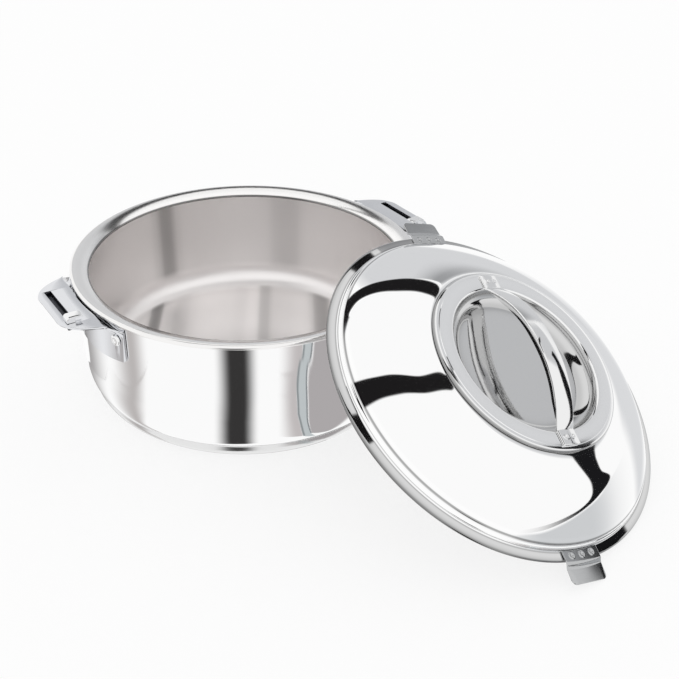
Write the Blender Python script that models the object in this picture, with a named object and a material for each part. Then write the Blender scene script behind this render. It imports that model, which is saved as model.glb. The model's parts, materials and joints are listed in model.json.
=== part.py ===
"""Insulated chapati casserole: a double-walled steel pot with two latched side handles,
and its double-walled lid lying off the pot, leaning on the rim.

Metres, +Z up. The origin is the centre of the pot's underside, and +X runs along the
line through the two side handles, towards the right-hand one.
"""

import math

import bmesh
import bpy
from mathutils import Matrix, Vector

# Gaps, overruns and how finely round things are divided
FIT_GAP = 0.0003
CUT_OVERRUN = 0.003
WELD_DISTANCE = 0.000001
TURN_STEPS = 36
SMALL_TURN_STEPS = 12
BEND_STEPS = 4
BEAD_STEPS = 5
DOME_STEPS = 6
ARCH_STEPS = 14
SHARP_ANGLE = math.radians(35)

# Steel finishes: how bright and how rough. Its blue is a little stronger than its red.
MIRROR_STEEL = (0.76, 0.05)
POLISHED_STEEL = (0.80, 0.07)
SATIN_STEEL = (0.69, 0.14)
STEEL_BLUE_SHARE = 1.01
FOAM_COLOUR = (0.86, 0.78, 0.55)
FOAM_ROUGHNESS = 0.9

# Pot: rim, walls and floor
RIM_RADIUS = 0.120
RIM_BEAD = 0.0019
POT_HEIGHT = 0.0935
FLANGE_WIDTH = 0.012
FLANGE_DROP = 0.0035
NOSE_STEP = 0.0005
NOSE_DEPTH = 0.0014
RIM_OVERHANG = 0.003
SHELL_SHEET = 0.0007
BOWL_SHEET = 0.0007
RIM_SHEET = 0.0007
FLOOR_HEIGHT = 0.0135
FLOOR_FILLET = 0.016
PAN_HEIGHT = 0.013
PAN_CORNER = 0.012
PAN_SHEET = 0.0007
PAN_LAP = 0.0042
TUCK_DEPTH = 0.0042
TUCK_HEIGHT = 0.024
CURL_START = math.radians(-100)

# Side handles: a slotted plate carried on a riveted back plate
HANDLE_SHEET = 0.0012
HANDLE_REACH = 0.0225
HANDLE_HALF_WIDTH = 0.0395
HANDLE_DROP = 0.0022
HANDLE_RIM_GAP = 0.0013
BACK_HALF_WIDTH = 0.0425
BACK_TOP_DROP = 0.0049
BACK_HEIGHT = 0.022
BACK_BELLY = 0.004
BACK_CORNER = 0.003
BACK_FLARE_HEIGHT = 0.0078
BACK_COLUMNS = 14
BACK_FOLD = 0.0003
SLOT_REACH = 0.01465
SLOT_WIDTH = 0.0045
SLOT_HALF_LENGTH = 0.0234
PLATE_EDGE = 0.0009
# The plate's outline from its middle to its end: place along the handle as a share of
# the half width, reach beyond the rim as a share of HANDLE_REACH, and the gap to the
# rim as a share of HANDLE_RIM_GAP.
PLATE_OUTLINE_SHARES = (
    (0.00, 1.00, 1.0),
    (0.24, 1.00, 1.0),
    (0.46, 1.00, 1.1),
    (0.58, 0.93, 1.5),
    (0.69, 0.81, 2.2),
    (0.79, 0.61, 3.1),
    (0.87, 0.36, 3.6),
    (0.93, 0.13, 3.8),
    (0.97, 0.01, 3.5),
)
# Where the back plate's top, which leans out to the plate, comes back to the wall at its
# ends: share of the back plate's half width, share of the way out.
BACK_FLARE_SHARES = ((0.875, 1.0), (0.92, 0.72), (0.96, 0.36), (1.0, 0.0))

# Handle rivets
RIVET_PLACE = 0.036
RIVET_DROP = 0.0145
RIVET_HEAD = 0.004
RIVET_HEAD_HEIGHT = 0.0016
# The head's profile: share of its radius, share of its height.
RIVET_HEAD_SHARES = ((1.0, 0.0), (0.94, 0.45), (0.70, 0.86))
RIVET_SHANK = 0.002
RIVET_DIMPLE = 0.0011
RIVET_TAIL = 0.0032
RIVET_TAIL_HEIGHT = 0.0008
RIVET_POCKET_CLEARANCE = 0.0011

# Sliding latches
LATCH_WIDTH = 0.0068
LATCH_REST = 0.0196
LATCH_ARM_REACH = 0.00695
LATCH_PAD_REACH = 0.0036
LATCH_RISE = 0.004
LATCH_ARM_SHEET = 0.001
LATCH_SIDE_GAP = 0.0004
FOOT_SPREAD = 0.0009
FOOT_HEIGHT = 0.001
CHANNEL_SHEET = 0.0006
CHANNEL_DEPTH = 0.0015
# The arm's top from the pad inwards: share of its reach, share of the rise. Then how high
# the pad's outer edge and the arm's tip stand, and where the arm's flat underside starts.
LATCH_ARM_SHARES = ((0.55, 1.0), (0.86, 0.95), (1.0, 0.86))
LATCH_PAD_TOP_SHARE = 0.9
LATCH_TIP_SHARE = 0.94
LATCH_HEEL_SHARE = 0.75

# Lid: hem, dome, crown, liner
LID_INSET = 0.004
LID_SHEET = 0.0007
HEM_ROLL = 0.00145
HEM_WIDTH = 0.0038
HEM_RISE = 0.0010
HEM_FLANGE_RISE = 0.0003
HEM_FLANGE_WIDTH = 0.0054
DOME_FOOT_RUN = 0.0027
DOME_FOOT_HEIGHT = 0.0054
DOME_TOP_HEIGHT = 0.0287
DOME_FULLNESS = 1.7
# The bead at the dome's foot: share of the run inwards, share of the rise.
BEAD_RISE_SHARES = ((0.19, 0.14), (0.26, 0.39), (0.48, 0.63), (0.74, 0.73), (0.93, 0.87))
CROWN_RADIUS = 0.0633
CROWN_HEIGHT = 0.0025
CROWN_EDGE = 0.0017
CROWN_LAP = 0.0093
CROWN_RIM = 0.0036
CROWN_LAND = 0.0097
CROWN_STEP = 0.0003
DISH_ROUND = 0.0015
DISH_ROUND_END = math.radians(153)
DISH_ROUND_STEPS = 2
DISH_DEPTH = 0.009
DISH_SLOPE = 0.010
DISH_WALL_STEPS = 4
LINER_DEPTH = 0.0095
LINER_INSET = 0.0115
LINER_CORNER = 0.003
LINER_FLANGE_DROP = 0.00085
LINER_FLANGE_INSET = 0.0021
LINER_BEND_STEPS = 2
DOME_FOAM_CLEARANCE = 0.0012

# Lid strap and lid tabs
STRAP_WIDTH = 0.013
STRAP_SHEET = 0.0012
STRAP_FOLD = 0.0036
STRAP_RISE = 0.0165
STRAP_FOOT_MARGIN = 0.0002
STRAP_FULLNESS = 2.3
STRAP_FOLD_END_SHARE = 0.33
STRAP_EASE_SHARE = 0.4
STRAP_ROOT_SHARE = 0.2
TAB_HALF_WIDTH = 0.0134
TAB_SHEET = 0.0008
TAB_LAP = 0.0056
TAB_OVERHANG = 0.0008
TAB_STEP = 0.0041
TAB_STEP_DROP = 0.0018
TAB_LIP = 0.0082
TAB_LIP_DROP = 0.0005
TAB_CORNER = 0.0035
TAB_COLUMNS = 5

# How the loose lid leans: how far up its underside the rim touches it, as a share of its
# width, the way its low side points, the turn from the low side round to the upper tab,
# and how far its centre lies off the pot's centre line.
LEAN_REACH_SHARE = 0.7935
LEAN_AZIMUTH = math.radians(-67.8)
LEAN_TURN = math.radians(150.4)
LEAN_SIDESTEP = 0.0021

# Heights and radii that follow from the sizes above
WALL_RADIUS = RIM_RADIUS - RIM_OVERHANG
MOUTH_RADIUS = RIM_RADIUS - FLANGE_WIDTH
SLOT_RADIUS = RIM_RADIUS + SLOT_REACH
LID_RADIUS = RIM_RADIUS - LID_INSET
LEAN_TILT = math.asin(POT_HEIGHT / (2 * LID_RADIUS * LEAN_REACH_SHARE))
HEM_INNER_RADIUS = LID_RADIUS - HEM_FLANGE_WIDTH
DOME_FOOT_RADIUS = HEM_INNER_RADIUS - DOME_FOOT_RUN
DOME_HOLE_RADIUS = CROWN_RADIUS - CROWN_LAP
CROWN_LAND_OUTER = CROWN_RADIUS - CROWN_RIM
DISH_RADIUS = CROWN_LAND_OUTER - CROWN_LAND
DISH_FLOOR_RADIUS = DISH_RADIUS - DISH_SLOPE
LINER_RADIUS = LID_RADIUS - LINER_INSET
LINER_FLANGE_RADIUS = LID_RADIUS - LINER_FLANGE_INSET
STRAP_SPAN = DISH_RADIUS
STRAP_FOOT = CROWN_LAND - STRAP_FOOT_MARGIN
TAB_INNER_RADIUS = LID_RADIUS - TAB_LAP
TAB_PLATE_RADIUS = LID_RADIUS + TAB_OVERHANG
TAB_STEP_RADIUS = TAB_PLATE_RADIUS + TAB_STEP
TAB_LIP_RADIUS = TAB_STEP_RADIUS + TAB_LIP
BEAD_CENTRE_RADIUS = RIM_RADIUS - RIM_BEAD
BEAD_CENTRE_HEIGHT = POT_HEIGHT - RIM_BEAD
LIP_HEIGHT = POT_HEIGHT - FLANGE_DROP
NOSE_RADIUS = MOUTH_RADIUS - NOSE_STEP
NOSE_BOTTOM = LIP_HEIGHT - NOSE_DEPTH
BOWL_RADIUS = NOSE_RADIUS + RIM_SHEET + FIT_GAP
PAN_RADIUS = WALL_RADIUS - TUCK_DEPTH
PLATE_TOP = POT_HEIGHT - HANDLE_DROP
PLATE_BOTTOM = PLATE_TOP - HANDLE_SHEET
BACK_RADIUS = WALL_RADIUS + FIT_GAP
BACK_FACE_RADIUS = BACK_RADIUS + HANDLE_SHEET
BACK_TOP = PLATE_TOP - BACK_TOP_DROP
RIVET_HEIGHT = POT_HEIGHT - RIVET_DROP
RIVET_ANGLE = math.asin(RIVET_PLACE / BACK_FACE_RADIUS)
RIVET_HOLE = RIVET_SHANK + FIT_GAP
CROWN_TOP = DOME_TOP_HEIGHT + CROWN_HEIGHT
HEM_CENTRE_RADIUS = LID_RADIUS - HEM_ROLL
HEM_CENTRE_HEIGHT = HEM_RISE - HEM_ROLL
TAB_SEAT = HEM_RISE + HEM_FLANGE_RISE + FIT_GAP
TAB_DROP = TAB_STEP_DROP + TAB_LIP_DROP


def arc(centre_r, centre_z, radius, start, end, steps):
    """Points of an arc in the (radius, height) plane."""
    points = []
    for i in range(steps + 1):
        turn = start + (end - start) * i / steps
        points.append((centre_r + radius * math.cos(turn), centre_z + radius * math.sin(turn)))
    return points


def left_normal(start, end):
    """Unit vector to the left of the way from start to end."""
    along = Vector((end[0] - start[0], end[1] - start[1])).normalized()
    return Vector((-along.y, along.x))


def sheet_outline(path, sheet):
    """Closed outline of a sheet with one face on the path and the other to its left."""
    normals = [left_normal(a, b) for a, b in zip(path, path[1:])]
    back = []
    for i, point in enumerate(path):
        before = normals[max(i - 1, 0)]
        after = normals[min(i, len(normals) - 1)]
        mitre = (before + after) / (1 + before.dot(after))
        back.append((point[0] + mitre.x * sheet, point[1] + mitre.y * sheet))
    return list(path) + back[::-1]


def finish_object(name, mesh_data, material):
    """Makes the object of a finished bmesh, smooth where its faces meet gently."""
    bmesh.ops.remove_doubles(mesh_data, verts=mesh_data.verts, dist=WELD_DISTANCE)
    bmesh.ops.recalc_face_normals(mesh_data, faces=mesh_data.faces)
    mesh = bpy.data.meshes.new(name)
    mesh_data.to_mesh(mesh)
    mesh_data.free()
    mesh.shade_smooth()
    mesh.set_sharp_from_angle(angle=SHARP_ANGLE)
    if material:
        mesh.materials.append(material)
    obj = bpy.data.objects.new(name, mesh)
    bpy.context.scene.collection.objects.link(obj)
    return obj


def turned(name, outline, material=None, steps=TURN_STEPS):
    """A closed (radius, height) outline turned about Z."""
    data = bmesh.new()
    ring = [data.verts.new((r, 0.0, z)) for r, z in outline]
    edges = []
    for start, end in zip(ring, ring[1:] + ring[:1]):
        if start.co.x or end.co.x:
            edges.append(data.edges.new((start, end)))
    bmesh.ops.spin(
        data,
        geom=ring + edges,
        cent=(0, 0, 0),
        axis=(0, 0, 1),
        angle=math.tau,
        steps=steps,
        use_merge=True,
    )
    return finish_object(name, data, material)


def skinned(name, sections, material=None):
    """A closed skin over rings of points, each ring with as many points as the next."""
    data = bmesh.new()
    rings = [[data.verts.new(point) for point in section] for section in sections]
    for ring, following in zip(rings, rings[1:]):
        for i in range(len(ring)):
            j = (i + 1) % len(ring)
            data.faces.new((ring[i], ring[j], following[j], following[i]))
    data.faces.new(rings[0][::-1])
    data.faces.new(rings[-1])
    return finish_object(name, data, material)


def block(name, low, high, material=None):
    """A box between two corners."""
    corners = ((low[0], low[2]), (high[0], low[2]), (high[0], high[2]), (low[0], high[2]))
    return skinned(name, [[(x, y, z) for x, z in corners] for y in (low[1], high[1])], material)


def helper(obj):
    """Marks a cutter, or a shape that a union takes in."""
    obj.hide_render = True
    obj.display_type = "WIRE"
    return obj


def combine(obj, other, operation):
    """Adds a Boolean of another object to this one."""
    modifier = obj.modifiers.new(operation.title() + " " + other.name, "BOOLEAN")
    modifier.operation = operation
    modifier.solver = "EXACT"
    modifier.object = helper(other)


def material_of(name, colour, metallic, roughness):
    """A Principled material."""
    material = bpy.data.materials.new(name)
    material.use_nodes = True
    shader = material.node_tree.nodes["Principled BSDF"]
    shader.inputs["Base Color"].default_value = (*colour, 1.0)
    shader.inputs["Metallic"].default_value = metallic
    shader.inputs["Roughness"].default_value = roughness
    material.diffuse_color = (*colour, 1.0)
    return material


def steel(name, finish):
    """Stainless steel of one brightness and roughness."""
    value, roughness = finish
    return material_of(name, (value, value, value * STEEL_BLUE_SHARE), 1.0, roughness)


def foam(name):
    """Rigid insulating foam."""
    return material_of(name, FOAM_COLOUR, 0.0, FOAM_ROUGHNESS)


def radial_drill(name, angle, height, radius, near, far):
    """A round cutter lying along the pot's radius, between two distances from its axis."""
    outline = [(0.0, near), (radius, near), (radius, far), (0.0, far)]
    drill = turned(name, outline, steps=SMALL_TURN_STEPS)
    drill.rotation_euler = (0.0, math.pi / 2, angle)
    drill.location = (0.0, 0.0, height)
    return drill


def flange_height(radius):
    """Height of the rim flange's upper face at a distance from the axis."""
    slope = FLANGE_DROP / (BEAD_CENTRE_RADIUS - MOUTH_RADIUS)
    return POT_HEIGHT - (BEAD_CENTRE_RADIUS - radius) * slope


def tuck_path(steps):
    """The shell's outer face from the base pan up to where the wall runs straight."""
    path = []
    for i in range(steps + 1):
        turn = math.pi / 2 * (1 - i / steps)
        path.append(
            (
                PAN_RADIUS + TUCK_DEPTH * math.cos(turn),
                PAN_HEIGHT + FIT_GAP + TUCK_HEIGHT * (1 - math.sin(turn)),
            )
        )
    return path


def build_rim_ring():
    """The rolled rim: an outer bead, a flange that falls inwards, and a nose into the bowl."""
    path = arc(BEAD_CENTRE_RADIUS, BEAD_CENTRE_HEIGHT, RIM_BEAD, CURL_START, math.pi / 2, BEAD_STEPS)
    path += [
        (MOUTH_RADIUS, LIP_HEIGHT),
        (NOSE_RADIUS, LIP_HEIGHT - NOSE_STEP),
        (NOSE_RADIUS, NOSE_BOTTOM),
    ]
    return turned("rim_ring", sheet_outline(path, RIM_SHEET), steel("rim steel", POLISHED_STEEL))


def build_inner_bowl():
    """The inner bowl, whose wall hangs behind the rim's nose."""
    fillet_centre = BOWL_RADIUS - FLOOR_FILLET
    path = [(BOWL_RADIUS, LIP_HEIGHT - NOSE_DEPTH + FIT_GAP)]
    path += arc(fillet_centre, FLOOR_HEIGHT + FLOOR_FILLET, FLOOR_FILLET, 0.0, -math.pi / 2, BEND_STEPS)
    path.append((0.0, FLOOR_HEIGHT))
    return turned("inner_bowl", sheet_outline(path, BOWL_SHEET), steel("bowl steel", SATIN_STEEL))


def build_outer_shell():
    """The outer wall, drawn in at the foot, with holes for the handle rivets."""
    slope = math.atan2(FLANGE_DROP, BEAD_CENTRE_RADIUS - MOUTH_RADIUS)
    under_flange = flange_height(WALL_RADIUS - SHELL_SHEET) - RIM_SHEET / math.cos(slope)
    path = tuck_path(BEND_STEPS)
    path.append((WALL_RADIUS, under_flange - FIT_GAP))
    return turned("outer_shell", sheet_outline(path, SHELL_SHEET), steel("wall steel", MIRROR_STEEL))


def build_base_pan():
    """The pan that closes the foot, its edge joggled in behind the shell."""
    lap_radius = PAN_RADIUS - SHELL_SHEET - FIT_GAP
    joggle = PAN_RADIUS - lap_radius
    path = [(0.0, 0.0)]
    path += arc(PAN_RADIUS - PAN_CORNER, PAN_CORNER, PAN_CORNER, -math.pi / 2, 0.0, BEND_STEPS)[:-1]
    path += [(PAN_RADIUS, PAN_HEIGHT - joggle), (lap_radius, PAN_HEIGHT)]
    path.append((lap_radius, PAN_HEIGHT + PAN_LAP))
    return turned("base_pan", sheet_outline(path, PAN_SHEET), steel("base steel", SATIN_STEEL))


def build_body_insulation():
    """Foam between the bowl, the shell and the base pan."""
    bowl_face = BOWL_SHEET + FIT_GAP
    pan_face = PAN_SHEET + FIT_GAP
    inner = BOWL_RADIUS + bowl_face
    outer = WALL_RADIUS - SHELL_SHEET - FIT_GAP
    lap_clear = PAN_RADIUS - SHELL_SHEET - FIT_GAP - PAN_SHEET - FIT_GAP
    top = NOSE_BOTTOM - bowl_face
    corner = PAN_CORNER - pan_face
    outline = arc(PAN_RADIUS - PAN_CORNER, PAN_CORNER, corner, -math.pi / 2, 0.0, BEND_STEPS)
    outline[-1] = (lap_clear, PAN_CORNER)
    outline += [(lap_clear, PAN_HEIGHT + PAN_LAP + FIT_GAP)]
    outline += [(outer, PAN_HEIGHT + TUCK_HEIGHT + FIT_GAP), (outer, top), (inner, top)]
    outline += arc(
        BOWL_RADIUS - FLOOR_FILLET,
        FLOOR_HEIGHT + FLOOR_FILLET,
        FLOOR_FILLET + bowl_face,
        0.0,
        -math.pi / 2,
        BEND_STEPS,
    )
    outline += [(0.0, FLOOR_HEIGHT - bowl_face), (0.0, pan_face)]
    return turned("body_insulation", outline, foam("pot insulation foam"))


def plate_column(along, reach_share, gap_share):
    """Inner and outer edge of the handle plate at one place along the handle."""
    inner = math.sqrt((RIM_RADIUS + HANDLE_RIM_GAP * gap_share) ** 2 - along**2)
    outer = inner + (RIM_RADIUS + HANDLE_REACH - inner) * reach_share
    return inner, max(outer, inner + HANDLE_SHEET)


def plate_section(along, reach_share, gap_share):
    """Ring of points of the plate at one place along the handle."""
    inner, outer = plate_column(along, reach_share, gap_share)
    eased = PLATE_EDGE * (1 - math.cos(math.pi / 4))
    return [
        (inner, along, PLATE_BOTTOM),
        (outer, along, PLATE_BOTTOM),
        (outer, along, PLATE_TOP - PLATE_EDGE),
        (outer - eased, along, PLATE_TOP - eased),
        (outer - PLATE_EDGE, along, PLATE_TOP),
        (inner, along, PLATE_TOP),
    ]


def rim_gap(along):
    """Gap from the rim to the plate's inner edge at one place along the handle."""
    share = abs(along) / HANDLE_HALF_WIDTH
    for (start, _, before), (end, _, after) in zip(PLATE_OUTLINE_SHARES, PLATE_OUTLINE_SHARES[1:]):
        if share <= end:
            return HANDLE_RIM_GAP * (before + (after - before) * (share - start) / (end - start))
    return HANDLE_RIM_GAP * PLATE_OUTLINE_SHARES[-1][2]


def back_column(along, flare):
    """Ring of points of the back plate at one place along the handle; flare is how far its
    top leans out to the plate."""
    edge = BACK_HALF_WIDTH - abs(along)
    cut = BACK_CORNER - math.sqrt(max(BACK_CORNER**2 - max(BACK_CORNER - edge, 0.0) ** 2, 0.0))
    belly = BACK_BELLY * (1 - (along / BACK_HALF_WIDTH) ** 2)
    low = BACK_TOP - BACK_HEIGHT - belly + cut
    bend = BACK_TOP - BACK_FLARE_HEIGHT / 2
    reach = RIM_RADIUS + rim_gap(along) + HANDLE_SHEET / 2
    top_radius = BACK_RADIUS + (reach - BACK_RADIUS) * flare
    top = BACK_TOP + (PLATE_TOP - PLATE_EDGE / 2 - BACK_TOP) * flare
    ring = [
        (BACK_RADIUS, low),
        (BACK_FACE_RADIUS, low),
        (BACK_FACE_RADIUS, bend),
        (top_radius + HANDLE_SHEET, top - HANDLE_SHEET * flare / 2),
        (top_radius, top),
        (BACK_RADIUS, bend + HANDLE_SHEET * flare / 2),
    ]
    return [(math.sqrt(r**2 - along**2), along, z) for r, z in ring]


def build_handle(name, turn):
    """One side handle: the slotted plate joined to its riveted back plate."""
    half = [(HANDLE_HALF_WIDTH * a, r, g) for a, r, g in PLATE_OUTLINE_SHARES]
    columns = [(-a, r, g) for a, r, g in half[:0:-1]] + half
    plate = [plate_section(*column) for column in columns]
    handle = skinned(name, plate, steel(name + " steel", SATIN_STEEL))
    ends = [(BACK_HALF_WIDTH * place, flare) for place, flare in BACK_FLARE_SHARES]
    straight = ends[0][0] - BACK_FOLD
    middle = [(straight * (2 * i / BACK_COLUMNS - 1), 1.0) for i in range(BACK_COLUMNS + 1)]
    places = [(-along, flare) for along, flare in ends[::-1]] + middle + ends
    back = skinned(name + "_back", [back_column(*place) for place in places])
    back.parent = handle
    combine(handle, back, "UNION")
    for side, word in ((1, "far"), (-1, "near")):
        hole = radial_drill(
            name + "_rivet_hole_" + word,
            side * RIVET_ANGLE,
            RIVET_HEIGHT,
            RIVET_HOLE,
            WALL_RADIUS - CUT_OVERRUN,
            BACK_FACE_RADIUS + CUT_OVERRUN,
        )
        hole.parent = handle
        combine(handle, hole, "DIFFERENCE")
    slot = block(
        name + "_slot_cut",
        (SLOT_RADIUS - SLOT_WIDTH / 2, -SLOT_HALF_LENGTH, PLATE_BOTTOM - CUT_OVERRUN),
        (SLOT_RADIUS + SLOT_WIDTH / 2, SLOT_HALF_LENGTH, PLATE_TOP + CUT_OVERRUN),
    )
    slot.parent = handle
    combine(handle, slot, "DIFFERENCE")
    handle.rotation_euler = (0.0, 0.0, turn)
    return handle


def build_rivet(name, angle):
    """A handle rivet with a dimpled head outside and its tail closed inside the shell."""
    inside = (WALL_RADIUS - SHELL_SHEET) * math.cos(math.pi / TURN_STEPS)
    tail_face = inside - FIT_GAP
    head_face = BACK_FACE_RADIUS + FIT_GAP
    crest = head_face + RIVET_HEAD_HEIGHT
    outline = [
        (0.0, tail_face - RIVET_TAIL_HEIGHT),
        (RIVET_TAIL, tail_face - RIVET_TAIL_HEIGHT),
        (RIVET_TAIL, tail_face),
        (RIVET_SHANK, tail_face),
        (RIVET_SHANK, head_face),
    ]
    outline += [(RIVET_HEAD * r, head_face + RIVET_HEAD_HEIGHT * h) for r, h in RIVET_HEAD_SHARES]
    outline += [(RIVET_DIMPLE, crest), (0.0, crest - RIVET_DIMPLE / 2)]
    rivet = turned(name, outline, steel(name + " steel", POLISHED_STEEL), SMALL_TURN_STEPS)
    rivet.rotation_euler = (0.0, math.pi / 2, angle)
    rivet.location = (0.0, 0.0, RIVET_HEIGHT)
    return rivet


def build_latch(name, turn):
    """A sliding latch: pad and inward arm above the plate, neck in the slot, foot below it."""
    neck = SLOT_WIDTH / 2 - LATCH_SIDE_GAP
    below = -HANDLE_SHEET - FIT_GAP
    foot = neck + FOOT_SPREAD
    under_arm = LATCH_RISE - LATCH_ARM_SHEET
    arm = [(-LATCH_ARM_REACH * s, LATCH_RISE * t) for s, t in LATCH_ARM_SHARES]
    outline = [
        (-foot, below - FOOT_HEIGHT),
        (foot, below - FOOT_HEIGHT),
        (foot, below),
        (neck, below),
        (neck, FIT_GAP),
        (LATCH_PAD_REACH, FIT_GAP),
        (LATCH_PAD_REACH, LATCH_RISE / 2),
        (LATCH_PAD_REACH - LATCH_ARM_SHEET, LATCH_RISE * LATCH_PAD_TOP_SHARE),
        (0.0, LATCH_RISE),
        *arm,
        (-LATCH_ARM_REACH, under_arm * LATCH_TIP_SHARE),
        (-LATCH_ARM_REACH * LATCH_HEEL_SHARE, under_arm),
        (-neck, under_arm),
        (-neck, below),
        (-foot, below),
    ]
    half = LATCH_WIDTH / 2
    sections = [[(x, y, z) for x, z in outline] for y in (-half, half)]
    latch = skinned(name, sections, steel(name + " steel", POLISHED_STEEL))
    return place_on_slot(latch, turn, -LATCH_REST)


def place_on_slot(obj, turn, along=0.0):
    """Sets a piece on a handle's slot, at a place along it."""
    side = math.cos(turn)
    obj.location = (side * SLOT_RADIUS, along, PLATE_TOP)
    obj.rotation_euler = (0.0, 0.0, turn)
    return obj


def build_channel(name, turn):
    """The shallow channel under the slot, in which the latch's foot runs."""
    inner_x = SLOT_WIDTH / 2 + FOOT_SPREAD
    inner_y = SLOT_HALF_LENGTH + LATCH_SIDE_GAP
    top = -HANDLE_SHEET - FIT_GAP
    floor = top - CHANNEL_DEPTH
    low = (-inner_x - CHANNEL_SHEET, -inner_y - CHANNEL_SHEET, floor - CHANNEL_SHEET)
    high = (inner_x + CHANNEL_SHEET, inner_y + CHANNEL_SHEET, top)
    channel = block(name, low, high, steel(name + " steel", SATIN_STEEL))
    hollow = block(
        name + "_hollow_cut", (-inner_x, -inner_y, floor), (inner_x, inner_y, top + CUT_OVERRUN)
    )
    hollow.parent = channel
    combine(channel, hollow, "DIFFERENCE")
    return place_on_slot(channel, turn)


def dome_path():
    """The lid's outer face from the hem's tucked end up to the hole under the crown."""
    path = [(LID_RADIUS - HEM_WIDTH, HEM_CENTRE_HEIGHT - HEM_ROLL)]
    path += arc(HEM_CENTRE_RADIUS, HEM_CENTRE_HEIGHT, HEM_ROLL, -math.pi / 2, math.pi / 2, BEAD_STEPS)
    path.append((HEM_INNER_RADIUS, HEM_RISE + HEM_FLANGE_RISE))
    run = HEM_INNER_RADIUS - DOME_FOOT_RADIUS
    rise = DOME_FOOT_HEIGHT - HEM_RISE - HEM_FLANGE_RISE
    for run_share, rise_share in BEAD_RISE_SHARES:
        path.append((HEM_INNER_RADIUS - run * run_share, HEM_RISE + HEM_FLANGE_RISE + rise * rise_share))
    path += dome_curve(0.0)
    path.append((DOME_HOLE_RADIUS, DOME_TOP_HEIGHT))
    return path


def dome_curve(depth):
    """The dome from its foot to the crown's edge, at a depth below the outer face."""
    points = []
    for i in range(DOME_STEPS + 1):
        share = i / DOME_STEPS
        radius = DOME_FOOT_RADIUS + (CROWN_RADIUS - DOME_FOOT_RADIUS) * share
        rise = (DOME_TOP_HEIGHT - DOME_FOOT_HEIGHT) * (1 - (1 - share) ** DOME_FULLNESS)
        slope = DOME_FULLNESS * (1 - share) ** (DOME_FULLNESS - 1)
        slope *= (DOME_TOP_HEIGHT - DOME_FOOT_HEIGHT) / (DOME_FOOT_RADIUS - CROWN_RADIUS)
        lean = math.atan(slope)
        points.append(
            (radius - depth * math.sin(lean), DOME_FOOT_HEIGHT + rise - depth * math.cos(lean))
        )
    return points


def build_lid_dome():
    """The lid's domed skin with its rolled hem and centre hole."""
    return turned("lid_dome", sheet_outline(dome_path(), LID_SHEET), steel("dome steel", MIRROR_STEEL))


def build_lid_crown():
    """The ring and sunk dish pressed in one piece that closes the top of the dome."""
    seat = DOME_TOP_HEIGHT + FIT_GAP
    shoulder = CROWN_TOP - CROWN_STEP
    path = [(CROWN_RADIUS, seat)]
    path += arc(CROWN_RADIUS - CROWN_EDGE, shoulder - CROWN_EDGE, CROWN_EDGE, 0.0, math.pi / 2, BEND_STEPS)
    path += [(CROWN_LAND_OUTER + CROWN_STEP, shoulder), (CROWN_LAND_OUTER, CROWN_TOP)]
    round_centre = (DISH_RADIUS + DISH_ROUND, CROWN_TOP - DISH_ROUND)
    path += arc(*round_centre, DISH_ROUND, math.pi / 2, DISH_ROUND_END, DISH_ROUND_STEPS)
    wall_top = path[-1]
    floor = CROWN_TOP - DISH_DEPTH
    for i in range(1, DISH_WALL_STEPS + 1):
        turn = math.pi / 2 * i / DISH_WALL_STEPS
        path.append(
            (
                wall_top[0] - (wall_top[0] - DISH_FLOOR_RADIUS) * (1 - math.cos(turn)),
                wall_top[1] - (wall_top[1] - floor) * math.sin(turn),
            )
        )
    path.append((0.0, floor))
    return turned("lid_crown", sheet_outline(path, LID_SHEET), steel("crown steel", MIRROR_STEEL))


def build_lid_liner():
    """The flat pan under the lid, its flange held in the dome's hem."""
    bend = LINER_CORNER / 2
    flange = -LINER_FLANGE_DROP
    path = [(0.0, -LINER_DEPTH)]
    path += arc(
        LINER_RADIUS - LINER_CORNER, LINER_CORNER - LINER_DEPTH, LINER_CORNER, -math.pi / 2, 0.0, BEND_STEPS
    )
    path += arc(LINER_RADIUS + bend, flange - bend, bend, math.pi, math.pi / 2, LINER_BEND_STEPS)
    path.append((LINER_FLANGE_RADIUS, flange))
    return turned("lid_liner", sheet_outline(path, LID_SHEET), steel("liner steel", SATIN_STEEL))


def build_lid_insulation():
    """Foam between the lid's dome, crown and liner."""
    face = LID_SHEET + FIT_GAP
    dish_bottom = CROWN_TOP - DISH_DEPTH - face
    wall = LINER_RADIUS - face
    floor = face - LINER_DEPTH
    land = DOME_TOP_HEIGHT - face
    dome = [point for point in dome_curve(DOME_FOAM_CLEARANCE) if point[0] < wall]
    outline = [(0.0, floor), (wall - LINER_CORNER, floor), (wall, floor + LINER_CORNER)]
    outline += [(wall, dome[0][1] / 2)]
    outline += dome[:-1] + [(CROWN_RADIUS - face, land), (DISH_RADIUS + face, land)]
    outline += [(DISH_RADIUS + face, dish_bottom), (0.0, dish_bottom)]
    return turned("lid_insulation", outline, foam("lid insulation foam"))


def strap_path():
    """The strap's top line from the middle of its arch to the end of one foot: (place, height)."""
    top = CROWN_TOP + FIT_GAP + STRAP_SHEET
    points = []
    for i in range(ARCH_STEPS // 2 + 1):
        turn = math.pi * i / ARCH_STEPS
        place = STRAP_SPAN * math.sin(turn)
        points.append((place, top + STRAP_RISE * (1 - (place / STRAP_SPAN) ** STRAP_FULLNESS)))
    points.append((STRAP_SPAN + STRAP_FOOT, top))
    return points


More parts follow.
